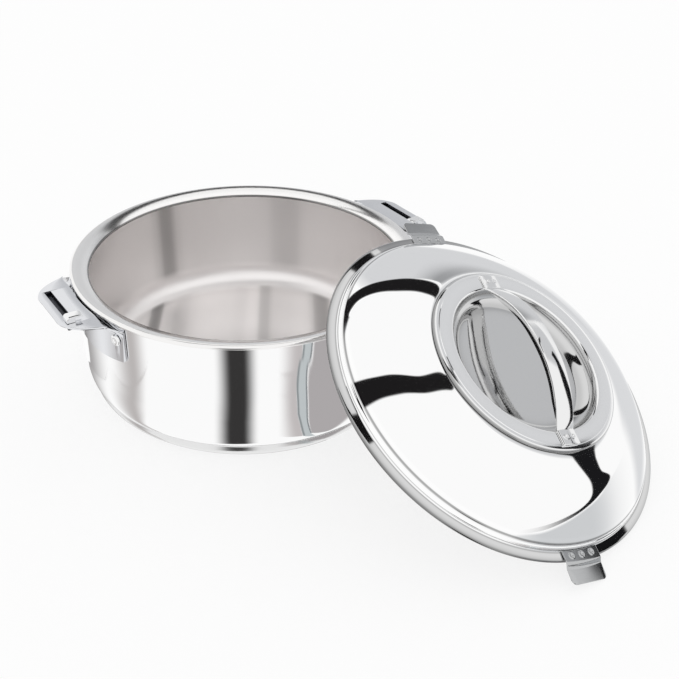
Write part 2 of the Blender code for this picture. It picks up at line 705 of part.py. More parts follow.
def build_lid_strap():
    """The lid's grip: a strap bent into an arch with its long edges folded down."""
    half_path = strap_path()
    path = [(-x, z) for x, z in half_path[:0:-1]] + half_path
    normals = [left_normal(a, b) for a, b in zip(path, path[1:])]
    half = STRAP_WIDTH / 2
    inner = half - STRAP_SHEET
    ease = STRAP_SHEET * STRAP_EASE_SHARE
    root = inner - STRAP_SHEET * STRAP_ROOT_SHARE
    sections = []
    for i, (x, z) in enumerate(path):
        before = normals[max(i - 1, 0)]
        after = normals[min(i, len(normals) - 1)]
        up = (before + after) / (1 + before.dot(after))
        share = (1 - abs(x) / STRAP_SPAN) / STRAP_FOLD_END_SHARE
        fold = (STRAP_FOLD - STRAP_SHEET) * min(max(share, 0.0), 1.0)
        ring = []
        for y, depth in (
            (-half, STRAP_SHEET + fold),
            (-half, ease),
            (-half + ease, 0.0),
            (half - ease, 0.0),
            (half, ease),
            (half, STRAP_SHEET + fold),
            (inner, STRAP_SHEET + fold),
            (root, STRAP_SHEET),
            (-root, STRAP_SHEET),
            (-inner, STRAP_SHEET + fold),
        ):
            ring.append((x - up.x * depth, y, z - up.y * depth))
        sections.append(ring)
    return skinned("lid_strap", sections, steel("strap steel", POLISHED_STEEL))


def tab_section(across):
    """Ring of points of a lid tab at one distance across it."""
    past = max(abs(across) - (TAB_HALF_WIDTH - TAB_CORNER), 0.0)
    cut = TAB_CORNER - math.sqrt(max(TAB_CORNER**2 - past**2, 0.0))
    stations = (
        (TAB_INNER_RADIUS, TAB_SEAT),
        (TAB_PLATE_RADIUS, TAB_SEAT),
        (TAB_STEP_RADIUS, TAB_SEAT - TAB_STEP_DROP),
        (TAB_LIP_RADIUS, TAB_SEAT - TAB_DROP),
    )
    under = [[math.sqrt(r**2 - across**2), across, z] for r, z in stations]
    under[-1][0] = TAB_LIP_RADIUS - cut
    over = [(x, y, z + TAB_SHEET) for x, y, z in under]
    return under + over[::-1]


def build_lid_tab(name, turn):
    """A lid tab: a plate welded on the hem, stepped down past the pot's rim to a lip."""
    flat = TAB_HALF_WIDTH - TAB_CORNER
    places = [flat * (i / TAB_COLUMNS) for i in range(TAB_COLUMNS + 1)]
    for i in range(1, BEND_STEPS + 1):
        places.append(flat + TAB_CORNER * math.sin(math.pi / 2 * i / BEND_STEPS))
    across = [-place for place in places[:0:-1]] + places
    tab = skinned(name, [tab_section(place) for place in across], steel(name + " steel", SATIN_STEEL))
    tab.rotation_euler = (0.0, 0.0, turn)
    return tab


def lean_matrix():
    """The lid's pose: on the ground at its low edge, its liner lying on the pot's rim."""
    tilt_sin, tilt_cos = math.sin(LEAN_TILT), math.cos(LEAN_TILT)
    hem_reach = tilt_sin * HEM_CENTRE_RADIUS - tilt_cos * HEM_CENTRE_HEIGHT + HEM_ROLL
    corner = Vector((TAB_LIP_RADIUS - TAB_CORNER, TAB_HALF_WIDTH - TAB_CORNER))
    low_turn = LEAN_TURN - math.pi
    downhill = abs(corner.x * math.cos(low_turn)) + abs(corner.y * math.sin(low_turn)) + TAB_CORNER
    lip_reach = tilt_sin * downhill - tilt_cos * (TAB_SEAT - TAB_DROP)
    height = max(hem_reach, lip_reach) + FIT_GAP
    support = tilt_sin * BEAD_CENTRE_RADIUS + tilt_cos * (BEAD_CENTRE_HEIGHT - height) + RIM_BEAD
    away = (support + LINER_DEPTH + FIT_GAP) / tilt_sin
    place = Matrix.Rotation(LEAN_AZIMUTH, 4, "Z") @ Vector((away, LEAN_SIDESTEP, 0.0))
    place.z = height
    turn = Matrix.Rotation(LEAN_AZIMUTH, 4, "Z") @ Matrix.Rotation(LEAN_TILT, 4, "Y")
    return Matrix.Translation(place) @ turn @ Matrix.Rotation(LEAN_TURN, 4, "Z")


def build_pot():
    """The pot with its handles, rivets and latches."""
    build_rim_ring()
    build_inner_bowl()
    shell = build_outer_shell()
    insulation = build_body_insulation()
    build_base_pan()
    for side, turn in (("right", 0.0), ("left", math.pi)):
        build_handle("handle_" + side, turn)
        for end, word in ((1, "far"), (-1, "near")):
            angle = turn + math.copysign(RIVET_ANGLE, end * math.cos(turn))
            name = "_".join(("rivet", side, word))
            build_rivet(name, angle)
            inside = WALL_RADIUS - SHELL_SHEET - FIT_GAP
            hole = radial_drill(
                name + "_hole", angle, RIVET_HEIGHT, RIVET_HOLE, inside - CUT_OVERRUN, RIM_RADIUS
            )
            combine(shell, hole, "DIFFERENCE")
            pocket_floor = inside - RIVET_TAIL_HEIGHT - RIVET_POCKET_CLEARANCE
            pocket = radial_drill(
                name + "_pocket", angle, RIVET_HEIGHT, RIVET_TAIL + FIT_GAP, pocket_floor, RIM_RADIUS
            )
            combine(insulation, pocket, "DIFFERENCE")
        build_latch("latch_slider_" + side, turn)
        build_channel("latch_channel_" + side, turn)


def build_lid():
    """The lid, built about its own axis and then leaned against the pot."""
    pose = bpy.data.objects.new("lid_pose", None)
    bpy.context.scene.collection.objects.link(pose)
    pose.matrix_world = lean_matrix()
    pieces = [
        build_lid_dome(),
        build_lid_crown(),
        build_lid_liner(),
        build_lid_insulation(),
        build_lid_strap(),
        build_lid_tab("lid_tab_upper", 0.0),
        build_lid_tab("lid_tab_lower", math.pi),
    ]
    for piece in pieces:
        piece.parent = pose


def main():
    for obj in list(bpy.data.objects):
        bpy.data.objects.remove(obj, do_unlink=True)
    build_pot()
    build_lid()


main()
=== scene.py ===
"""Looks of the insulated chapati casserole: polished stainless steel on a pale floor.

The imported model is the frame. Its steel sheets are replaced by finely divided ones of the
same outlines, and every finish is a node material. Metres, +Z up, +X towards the right-hand
handle. Names of sizes follow the pieces that they belong to.
"""

import json
import logging
import math
from dataclasses import dataclass
from enum import Enum
from typing import Any, Sequence

import bmesh
import bpy
from mathutils import Matrix, Vector

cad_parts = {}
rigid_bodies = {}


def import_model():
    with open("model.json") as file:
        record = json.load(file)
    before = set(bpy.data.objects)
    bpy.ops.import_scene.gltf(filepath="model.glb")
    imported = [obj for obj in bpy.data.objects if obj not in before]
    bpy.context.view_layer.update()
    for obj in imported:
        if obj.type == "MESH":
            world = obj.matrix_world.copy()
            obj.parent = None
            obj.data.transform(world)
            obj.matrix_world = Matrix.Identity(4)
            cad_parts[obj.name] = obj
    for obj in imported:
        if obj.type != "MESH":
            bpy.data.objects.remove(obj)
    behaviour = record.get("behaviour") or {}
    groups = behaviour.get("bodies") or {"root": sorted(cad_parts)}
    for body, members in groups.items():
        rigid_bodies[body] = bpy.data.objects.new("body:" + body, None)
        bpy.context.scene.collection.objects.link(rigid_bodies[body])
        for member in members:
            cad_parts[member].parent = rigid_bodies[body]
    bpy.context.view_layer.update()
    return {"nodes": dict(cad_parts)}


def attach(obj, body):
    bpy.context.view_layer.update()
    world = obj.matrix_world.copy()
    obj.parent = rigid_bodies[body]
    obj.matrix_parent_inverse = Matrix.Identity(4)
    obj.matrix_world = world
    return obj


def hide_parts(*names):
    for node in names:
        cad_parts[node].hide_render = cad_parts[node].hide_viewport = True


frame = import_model()
LOG = logging.getLogger("casserole")

MM = 0.001
FIT_GAP = 0.0003
WELD_DISTANCE = 0.000001
TURN_STEPS = 240
BEND_STEPS = 10
FILLET_STEPS = 20
BEAD_STEPS = 18
DOME_STEPS = 48
COLUMN_STEPS = 6
DRILL_STEPS = 40
SHARP_ANGLE = math.radians(32)
SIDES = (("right", 0.0), ("left", math.pi))

# The way that the photograph looks, in degrees left of +Y.
PHOTO_HEADING = -31.5

SRGB_KNEE = 0.04045
SRGB_SLOPE = 12.92
SRGB_OFFSET = 0.055
SRGB_POWER = 2.4

# Detail and roughness of each noise, and the span of the haze that shows.
HAZE_NOISE = (4.0, 0.6)
WAVE_NOISE = (1.0, 0.4)
MARK_NOISE = (3.0, 0.7)
HAZE_SPAN = (0.35, 0.7)

Point2 = tuple[float, float]
Point3 = tuple[float, float, float]
Point4 = tuple[float, float, float, float]


def oval(centre: Point2, radii: Point2, start: float, end: float, steps: int) -> list[Point2]:
    """Points of part of an oval in the (radius, height) plane.

    Args:
        centre: The oval's centre.
        radii: Its radius outwards and its radius upwards.
        start: Angle of the first point, in degrees.
        end: Angle of the last point, in degrees.
        steps: How many chords it has.

    Returns:
        The points, both ends among them.
    """
    turns = [math.radians(mix(start, end, i / steps)) for i in range(steps + 1)]
    across, up = radii
    return [(centre[0] + across * math.cos(t), centre[1] + up * math.sin(t)) for t in turns]


def arc(centre: Point2, radius: float, start: float, end: float, steps: int) -> list[Point2]:
    """Points of part of a circle, with the arguments of an oval."""
    return oval(centre, (radius, radius), start, end, steps)


def mix(start: float, end: float, share: float) -> float:
    """The value a share of the way from start to end."""
    return start + (end - start) * share


def even_places(half: float, steps: int) -> list[float]:
    """Evenly spaced places from one end of a span to the other, its middle at 0."""
    return [half * (2 * i / steps - 1) for i in range(steps + 1)]


def corner_cut(across: float, half: float, corner: float) -> float:
    """How far a rounded corner cuts into an end, at a distance from the middle of its width."""
    past = max(across - (half - corner), 0.0)
    return corner - math.sqrt(max(corner**2 - past**2, 0.0))


def painted_shade_rows(rows: Sequence[Point3]) -> tuple[Point2, ...]:
    """Rings of painted shade, each from a radius, how many mm outside it, and the brightness."""
    return tuple((radius + out * MM, level) for radius, out, level in rows)


def left_normal(start: Sequence[float], end: Sequence[float]) -> Vector:
    """Unit vector to the left of the way from start to end."""
    along = Vector((end[0] - start[0], end[1] - start[1])).normalized()
    return Vector((-along.y, along.x))


def mitres(path: Sequence[Point2]) -> list[Vector]:
    """The way each point of a path moves so that the whole path shifts one unit to its left."""
    normals = [left_normal(a, b) for a, b in zip(path, path[1:])]
    found = []
    for i in range(len(path)):
        before = normals[max(i - 1, 0)]
        after = normals[min(i, len(normals) - 1)]
        found.append((before + after) / (1 + before.dot(after)))
    return found


def sheet_outline(path: Sequence[Point2], sheet: float) -> list[Point2]:
    """Closed outline of a sheet with one face on the path and the other to its left."""
    back = [(p[0] + m.x * sheet, p[1] + m.y * sheet) for p, m in zip(path, mitres(path))]
    return list(path) + back[::-1]


def smooth_between(rows: Sequence[Sequence[float]], steps: int) -> list[tuple[float, ...]]:
    """Rows of values made finer by a smooth curve through them.

    Args:
        rows: The chosen rows.
        steps: How many steps each gap is divided into.

    Returns:
        The finer rows.
    """
    fine = []
    last = len(rows) - 1
    for i in range(last):
        four = [rows[max(i - 1, 0)], rows[i], rows[i + 1], rows[min(i + 2, last)]]
        for k in range(steps):
            t = k / steps
            fine.append(tuple(catmull_rom(*values, t) for values in zip(*four)))
    fine.append(tuple(rows[-1]))
    return fine


def catmull_rom(a: float, b: float, c: float, d: float, t: float) -> float:
    """The value a share t of the way from b to c on a smooth curve through all four."""
    slopes = (1 - t) * (c - a) / 2 - t * (d - b) / 2
    return b + (c - b) * t * t * (3 - 2 * t) + slopes * t * (1 - t)


def level_at(rows: Sequence[Point2], place: float) -> float:
    """The value at a place on straight lines between rows of place and value."""
    for (start, before), (end, after) in zip(rows, rows[1:]):
        if place <= end:
            return mix(before, after, (place - start) / (end - start))
    return rows[-1][1]


def ease(share: float) -> float:
    """A smooth rise from 0 to 1, flat beyond both."""
    share = min(max(share, 0.0), 1.0)
    return share * share * (3 - 2 * share)


def fade(share: float, soft: Point2) -> float:
    """How much of a card there is at a share of its way across, faded in at both sides."""
    start = ease(share / soft[0]) if soft[0] else 1.0
    end = ease((1 - share) / soft[1]) if soft[1] else 1.0
    return start * end


# Materials


def linear(hex_colour: str) -> Point4:
    """An sRGB hex colour as the linear one that Blender's sockets take."""
    found = []
    for i in (0, 2, 4):
        value = int(hex_colour[i : i + 2], 16) / 255
        curved = ((value + SRGB_OFFSET) / (1 + SRGB_OFFSET)) ** SRGB_POWER
        found.append(value / SRGB_SLOPE if value <= SRGB_KNEE else curved)
    return (*found, 1.0)


def add_node(tree: Any, kind: str, inputs: dict[Any, Any] | None = None, **settings: Any) -> Any:
    """Adds a node with its settings and links.

    Args:
        tree: The node tree.
        kind: The node's type name.
        inputs: Socket name or number, and the value it takes or the socket that feeds it.
        **settings: Properties of the node.

    Returns:
        The node.
    """
    node = tree.nodes.new(kind)
    for name, value in settings.items():
        setattr(node, name, value)
    for name, value in (inputs or {}).items():
        socket = node.inputs[name]
        if isinstance(value, bpy.types.NodeSocket):
            tree.links.new(value, socket)
        else:
            socket.default_value = value
    return node


def result(tree: Any, kind: str, inputs: dict[Any, Any] | None = None, **settings: Any) -> Any:
    """Adds a node, with the arguments of add_node, and gives its first output."""
    return add_node(tree, kind, inputs, **settings).outputs[0]


def maths(tree: Any, operation: str, *values: Any) -> Any:
    """Adds a maths node and gives its result."""
    return result(tree, "ShaderNodeMath", dict(enumerate(values)), operation=operation)


def vector_maths(tree: Any, operation: str, *values: Any) -> Any:
    """Adds a vector maths node and gives its result, which is a number for a length or a dot."""
    inputs = dict(enumerate(values))
    outputs = add_node(tree, "ShaderNodeVectorMath", inputs, operation=operation).outputs
    return outputs["Value" if operation in ("LENGTH", "DOT_PRODUCT") else "Vector"]


def map_range(
    tree: Any, value: Any, span: Point2, into: Point2 = (0.0, 1.0), **settings: Any
) -> Any:
    """Adds a node that maps one span of values to another, and gives its result."""
    inputs = {"Value": value, "From Min": span[0], "From Max": span[1]}
    inputs.update({"To Min": into[0], "To Max": into[1]})
    return add_node(tree, "ShaderNodeMapRange", inputs, **settings).outputs["Result"]


def combine(tree: Any, **axes: Any) -> Any:
    """Adds a node that makes a vector of the axes given, the others 0."""
    return result(tree, "ShaderNodeCombineXYZ", axes)


def bump(tree: Any, height: Any, depth_mm: float) -> Any:
    """Adds a bump of a depth in millimetres, and gives its normal."""
    return result(tree, "ShaderNodeBump", {"Height": height, "Distance": depth_mm * MM})


def noise(tree: Any, place: Any, size_mm: float, grain: Point2) -> Any:
    """Adds a noise whose patches are of a size in millimetres.

    Args:
        tree: The material's node tree.
        place: The socket of the coordinates.
        size_mm: The size of its patches.
        grain: Its detail and its roughness.

    Returns:
        The socket of its value.
    """
    inputs = {"Vector": place, "Scale": 1 / (size_mm * MM), "Detail": grain[0], "Roughness": grain[1]}
    return result(tree, "ShaderNodeTexNoise", inputs)


def new_material(name: str) -> tuple[bpy.types.Material, Any, Any]:
    """A new material with its node tree and its shader."""
    material = bpy.data.materials.new(name)
    material.use_nodes = True
    return material, material.node_tree, material.node_tree.nodes["Principled BSDF"]


def bare_material(name: str) -> tuple[bpy.types.Material, Any, Any]:
    """A new material without a shader, with its node tree and the socket of its surface."""
    material, tree, shader = new_material(name)
    tree.nodes.remove(shader)
    return material, tree, tree.nodes["Material Output"].inputs["Surface"]


def blend(tree: Any, share: Any, first: Any, second: Any) -> Any:
    """Adds a mix of two shaders, with a share of the second, and gives its result."""
    return result(tree, "ShaderNodeMixShader", {0: share, 1: first, 2: second})


def glow(tree: Any, hex_colour: str) -> Any:
    """Adds an even glow and gives its result."""
    return result(tree, "ShaderNodeEmission", {"Color": linear(hex_colour)})


class Lay(Enum):
    """The way the polishing wheel ran over a piece: the axes that its marks change along."""

    ROUND = "round"
    ALONG = "YZ"
    ACROSS = "XZ"


@dataclass(frozen=True)
class Steel:
    """Polished stainless steel sheet: its colour, its polish and the marks the wheel left.

    A ring is a radius and the steel's brightness there, as a share of its colour. Rings are painted
    shade and painted dark reflections at the tight bends of a turned piece.
    """

    name: str
    colour: str
    roughness: float
    lay: Lay = Lay.ROUND
    mark_mm: float = 0.5
    haze: float = 0.02
    wave_mm: float = 38.0
    wave_depth_mm: float = 0.008
    centre: Point3 = (0.0, 0.0, 0.0)
    turn: Point3 = (0.0, 0.0, 0.0)
    rings: tuple[Point2, ...] = ()

    def material(self) -> bpy.types.Material:
        """Builds the material.

        Returns:
            A metal whose marks run the way the wheel went, over the slow waves of drawn sheet, with any
            painted shade darkening its colour.
        """
        material, tree, shader = new_material(self.name)
        place = add_node(tree, "ShaderNodeTexCoord").outputs["Object"]
        inputs = {"Vector": place, "Location": self.centre, "Rotation": self.turn}
        own = result(tree, "ShaderNodeMapping", inputs, vector_type="TEXTURE")
        haze = noise(tree, own, self.wave_mm, HAZE_NOISE)
        rough = map_range(tree, haze, HAZE_SPAN, (self.roughness, self.roughness + self.haze))
        worn = maths(tree, "MULTIPLY_ADD", self.marks(tree, own), self.haze, rough)
        tree.links.new(worn, shader.inputs["Roughness"])
        waves = noise(tree, own, self.wave_mm, WAVE_NOISE)
        tree.links.new(bump(tree, waves, self.wave_depth_mm), shader.inputs["Normal"])
        shader.inputs["Base Color"].default_value = linear(self.colour)
        # Painted shade: rings or bands darken the steel's colour where its reflections show dark.
        share = self.brightness(tree, own)
        if share:
            painted_shade_colour = vector_maths(tree, "MULTIPLY", linear(self.colour)[:3], share)
            tree.links.new(painted_shade_colour, shader.inputs["Base Color"])
        shader.inputs["Metallic"].default_value = 1.0
        return material

    def brightness(self, tree: Any, own: Any) -> Any:
        """Adds the painted shade that varies the steel's brightness from place to place.

        Args:
            tree: The material's node tree.
            own: The piece's own coordinates.

        Returns:
            The socket of the share of its colour that the painted shade leaves, or None where the steel
            is even.
        """
        return bands(tree, radius_of(tree, own), self.rings) if self.rings else None

    def marks(self, tree: Any, own: Any) -> Any:
        """Adds the fine marks of the wheel.

        Args:
            tree: The material's node tree.
            own: The piece's own coordinates.

        Returns:
            A socket that runs from 0 to 1 across the marks.
        """
        axes = add_node(tree, "ShaderNodeSeparateXYZ", {"Vector": own}).outputs
        if self.lay is Lay.ROUND:
            laid = combine(tree, X=radius_of(tree, own), Z=axes["Z"])
        else:
            laid = combine(tree, **{axis: axes[axis] for axis in self.lay.value})
        return noise(tree, laid, self.mark_mm, MARK_NOISE)


def radius_of(tree: Any, own: Any) -> Any:
    """Adds the distance from the Z axis."""
    return vector_maths(tree, "LENGTH", vector_maths(tree, "MULTIPLY", own, (1.0, 1.0, 0.0)))


def bands(tree: Any, place: Any, rows: Sequence[Point2]) -> Any:
    """Adds a smooth curve of brightness over a place.

    Args:
        tree: The material's node tree.
        place: The socket of the place.
        rows: Places and brightness, from low to high.

    Returns:
        The socket of the brightness.
    """
    first, last = rows[0], rows[-1]
    along = map_range(tree, place, (first[0], last[0]))
    curve = add_node(tree, "ShaderNodeFloatCurve", {"Value": along})
    line = curve.mapping.curves[0]
    line.points[0].location = (0.0, first[1])
    line.points[1].location = (1.0, last[1])
    for where, level in rows[1:-1]:
        line.points.new((where - first[0]) / (last[0] - first[0]), level)
    curve.mapping.update()
    return curve.outputs[0]


@dataclass(frozen=True)
class BowlSteel(Steel):
    """The bowl's steel with painted reflections: soft upright bands on the drawn wall and straight
    bands across the floor.

    A band is a place and the steel's brightness there, as a share of its colour. Wall places
    are degrees round the bowl from its far side, floor places are mm across the bowl.
    """

    heading: float = math.radians(PHOTO_HEADING + 90)
    floor_top: float = 0.0139
    fillet_low: float = 0.0155
    fillet_high: float = 0.024
    wall_low: float = 0.034
    # Painted reflections: darker upright bands where the wall would mirror dark studio flags.
    wall_painted_reflections: tuple[Point2, ...] = (
        (-180, 0.87), (-150, 0.87), (-135, 0.76), (-118, 0.87), (-40, 0.89), (-26.6, 0.89),
        (-21.1, 0.82), (-15.8, 0.73), (-10.6, 0.76), (-5.4, 0.87), (0, 0.89), (25.6, 0.89),
        (31.1, 0.81), (34.5, 0.56), (37.5, 0.45), (40.5, 0.62), (43.5, 0.79), (48.9, 0.89),
        (120, 0.87), (137, 0.74), (152, 0.87), (180, 0.87),
    )
    # Painted reflections: darker stripes where the floor would mirror dark things around it.
    floor_painted_reflections: tuple[Point2, ...] = (
        (-100, 1.0), (-67, 0.95), (-57.7, 0.44), (-48.3, 0.78), (-38.8, 1.0), (-29.5, 1.0),
        (-20, 0.93), (-15.3, 0.8), (-10.6, 0.68), (-6, 0.88), (-1.2, 1.0), (8.2, 0.93),
        (17, 0.97), (36.5, 1.0), (45.9, 0.95), (55.4, 0.86), (64.8, 0.98), (69.5, 0.75),
        (74.2, 0.36), (79, 0.7), (84, 0.88), (100, 0.9),
    )

    def brightness(self, tree: Any, own: Any) -> Any:
        """Adds the painted reflection bands of the wall and the floor, with the even fillet between them.
        """
        far = (math.cos(self.heading), math.sin(self.heading), 0.0)
        ahead = vector_maths(tree, "DOT_PRODUCT", own, far)
        aside = vector_maths(tree, "DOT_PRODUCT", own, (-far[1], far[0], 0.0))
        turn = maths(tree, "ARCTAN2", aside, ahead)
        wall = bands(tree, turn, [(math.radians(place), level) for place, level in self.wall_painted_reflections])
        floor = bands(tree, aside, [(place * MM, level) for place, level in self.floor_painted_reflections])
        height = add_node(tree, "ShaderNodeSeparateXYZ", {"Vector": own}).outputs["Z"]
        smooth = {"interpolation_type": "SMOOTHSTEP"}
        low = map_range(tree, height, (self.floor_top, self.fillet_low), **smooth)
        high = map_range(tree, height, (self.fillet_high, self.wall_low), **smooth)
        mixed = {"Factor": low, 2: floor, 3: 1.0}
        fillet = result(tree, "ShaderNodeMix", mixed, data_type="FLOAT")
        mixed = {"Factor": high, 2: fillet, 3: wall}
        return result(tree, "ShaderNodeMix", mixed, data_type="FLOAT")


@dataclass(frozen=True)
class Foam:
    """Poured rigid foam: a matt pale yellow with small cells."""

    name: str
    colour: str
    roughness: float = 0.9
    cell_mm: float = 1.2
    cell_depth_mm: float = 0.3

    def material(self) -> bpy.types.Material:
        """Builds the material."""
        material, tree, shader = new_material(self.name)
        inputs = {"Vector": add_node(tree, "ShaderNodeTexCoord").outputs["Object"]}
        inputs["Scale"] = 1 / (self.cell_mm * MM)
        cells = add_node(tree, "ShaderNodeTexVoronoi", inputs).outputs["Distance"]
        tree.links.new(bump(tree, cells, self.cell_depth_mm), shader.inputs["Normal"])
        shader.inputs["Base Color"].default_value = linear(self.colour)
        shader.inputs["Roughness"].default_value = self.roughness
        return material


# Meshes


def shade(mesh: bpy.types.Mesh) -> None:
    """Shades a mesh smooth apart from its sharp edges."""
    mesh.shade_smooth()
    mesh.set_sharp_from_angle(angle=SHARP_ANGLE)


def finish_mesh(data: bmesh.types.BMesh, name: str) -> bpy.types.Mesh:
    """Closes a bmesh's seams, turns its faces outwards and shades it smooth.

    Args:
        data: The bmesh, which is freed.
        name: The mesh's name.

    Returns:
        The mesh.
    """
    bmesh.ops.remove_doubles(data, verts=data.verts, dist=WELD_DISTANCE)
    bmesh.ops.recalc_face_normals(data, faces=data.faces)
    mesh = bpy.data.meshes.new(name)
    data.to_mesh(mesh)
    data.free()
    shade(mesh)
    return mesh


def new_object(name: str, data: Any) -> bpy.types.Object:
    """Puts a mesh or a camera in the scene."""
    obj = bpy.data.objects.new(name, data)
    bpy.context.scene.collection.objects.link(obj)
    return obj


def skin(name: str, sections: Sequence[Sequence[Point3]]) -> bpy.types.Object:
    """A closed skin over rings of points, each ring with as many points as the next."""
    data = bmesh.new()
    rings = [[data.verts.new(point) for point in section] for section in sections]
    for ring, following in zip(rings, rings[1:]):
        for i in range(len(ring)):
            j = (i + 1) % len(ring)
            data.faces.new((ring[i], ring[j], following[j], following[i]))
    data.faces.new(rings[0][::-1])
    data.faces.new(rings[-1])
    return new_object(name, finish_mesh(data, name))


def apply_modifiers(obj: bpy.types.Object) -> bpy.types.Object:
    """Turns an object with its modifiers into a plain mesh."""
    graph = bpy.context.evaluated_depsgraph_get()
    mesh = bpy.data.meshes.new_from_object(obj.evaluated_get(graph), depsgraph=graph)
    obj.modifiers.clear()
    obj.data = mesh
    return obj


def join_bodies(obj: bpy.types.Object, *others: tuple[bpy.types.Object, str]) -> None:
    """Cuts or joins an object with others, which are then removed.

    Args:
        obj: The object that stays.
        *others: Each other object with UNION or DIFFERENCE.
    """
    for other, operation in others:
        modifier = obj.modifiers.new(operation, "BOOLEAN")
        modifier.operation = operation
        modifier.solver = "EXACT"
        modifier.object = other
    apply_modifiers(obj)
    for other, _ in others:
        bpy.data.objects.remove(other)


def soften(obj: bpy.types.Object, width: float, segments: int = 2) -> None:
    """Rounds the sharp edges of an object a little, as tumbling and polishing do."""
    bevel = obj.modifiers.new("Eased edges", "BEVEL")
    bevel.width = width
    bevel.segments = segments
    bevel.limit_method = "ANGLE"
    bevel.angle_limit = SHARP_ANGLE
    apply_modifiers(obj)
    shade(obj.data)


class ShapeTree:
    """A Geometry Nodes tree that is built once and run for each piece that follows its rule."""

    def __init__(self, name: str, **inputs: str) -> None:
        """Makes the tree's sockets.

        Args:
            name: The tree's name.
            **inputs: What it takes besides its points and its finish, and the kind of each.
        """
        self.tree = bpy.data.node_groups.new(name, "GeometryNodeTree")
        sockets = self.tree.interface
        sockets.new_socket("Points", in_out="INPUT", socket_type="NodeSocketGeometry")
        self.ids = {}
        for key, kind in {**inputs, "Finish": "Material"}.items():
            socket = sockets.new_socket(key, in_out="INPUT", socket_type="NodeSocket" + kind)
            self.ids[key] = socket.identifier
        sockets.new_socket("Piece", in_out="OUTPUT", socket_type="NodeSocketGeometry")
        given = add_node(self.tree, "NodeGroupInput").outputs
        built = self.fill(self.tree, given)
        real = result(self.tree, "GeometryNodeRealizeInstances", {"Geometry": built})
        inputs = {"Geometry": real, "Material": given["Finish"]}
        dressed = result(self.tree, "GeometryNodeSetMaterial", inputs)
        add_node(self.tree, "NodeGroupOutput", {0: dressed})

    def fill(self, tree: Any, given: Any) -> Any:
        """Adds the tree's own nodes.

        Args:
            tree: The tree.
            given: The sockets of what it takes.

        Returns:
            The socket of the piece's geometry.
        """
        raise NotImplementedError

    def run(self, name: str, points: Sequence[Point3], **values: Any) -> bpy.types.Object:
        """Runs the tree on points.

        Args:
            name: The new object's name.
            points: The points.
            **values: What the tree takes, by name.

        Returns:
            What it makes, as a plain mesh.
        """
        mesh = bpy.data.meshes.new(name)
        mesh.from_pydata(list(points), [], [])
        obj = new_object(name, mesh)
        modifier = obj.modifiers.new(self.tree.name, "NODES")
        modifier.node_group = self.tree
        for key, value in values.items():
            modifier[self.ids[key]] = value
        return apply_modifiers(obj)


class SpinTree(ShapeTree):
    """Turns an outline about Z, as spinning and rolling form sheet."""

    def __init__(self) -> None:
        """Builds the tree once, for all turned pieces."""
        super().__init__("Turned sheet", Steps="Int")

    def fill(self, tree: Any, given: Any) -> Any:
        """Adds a grid whose rows are bent round the axis, closed where they meet."""
        outline = {"Geometry": given["Points"]}
        size = add_node(tree, "GeometryNodeAttributeDomainSize", outline, component="MESH")
        count, steps = size.outputs["Point Count"], given["Steps"]
        turns = maths(tree, "ADD", steps, 1.0)
        sides = {"Vertices X": maths(tree, "ADD", count, 1.0), "Vertices Y": turns}
        grid = add_node(tree, "GeometryNodeMeshGrid", sides).outputs["Mesh"]
        index = result(tree, "GeometryNodeInputIndex")
        row = maths(tree, "FLOOR", maths(tree, "DIVIDE", index, turns))
        outline["Index"] = maths(tree, "FLOORED_MODULO", row, count)
        outline["Value"] = result(tree, "GeometryNodeInputPosition")
        kind = {"data_type": "FLOAT_VECTOR", "domain": "POINT"}
        sample = result(tree, "GeometryNodeSampleIndex", outline, **kind)
        column = maths(tree, "FLOORED_MODULO", maths(tree, "FLOORED_MODULO", index, turns), steps)
        angle = maths(tree, "MULTIPLY", maths(tree, "DIVIDE", column, steps), math.tau)
        bend = {"Vector": sample, "Angle": angle}
        turned = result(tree, "ShaderNodeVectorRotate", bend, rotation_type="Z_AXIS")
        moved = {"Geometry": grid, "Position": turned}
        bent = result(tree, "GeometryNodeSetPosition", moved)
        closed = {"Geometry": bent, "Distance": WELD_DISTANCE}
        return result(tree, "GeometryNodeMergeByDistance", closed)

    def turn(
        self, name: str, outline: Sequence[Point2], finish: bpy.types.Material, steps: int = TURN_STEPS
    ) -> bpy.types.Object:
        """Makes a turned piece.

        Args:
            name: The piece's name.
            outline: Its closed outline, as (radius, height).
            finish: Its material.
            steps: How many faces it has round the axis.

        Returns:
            The piece as a plain mesh, faces out.
        """
        obj = self.run(name, [(r, 0.0, z) for r, z in outline], Steps=steps, Finish=finish)
        data = bmesh.new()
        data.from_mesh(obj.data)
        obj.data = finish_mesh(data, name)
        obj.data.materials.append(finish)
        return obj

    def settle_sheets(
        self, pieces: Sequence[tuple[Any, ...]], sheet: float, body: str, lean: Matrix
    ) -> None:
        """Makes and settles the turned sheets of a body.

        Args:
            pieces: The name, path, steel, slot and replaced node of each.
            sheet: Their thickness.
            body: The body that they ride on.
            lean: Where they go from their place on the Z axis.
        """
        for name, path, steel, slot, node in pieces:
            piece = self.turn(name, sheet_outline(path, sheet), steel.material())
            piece.data.transform(lean)
            settle(piece, body, slot, node)


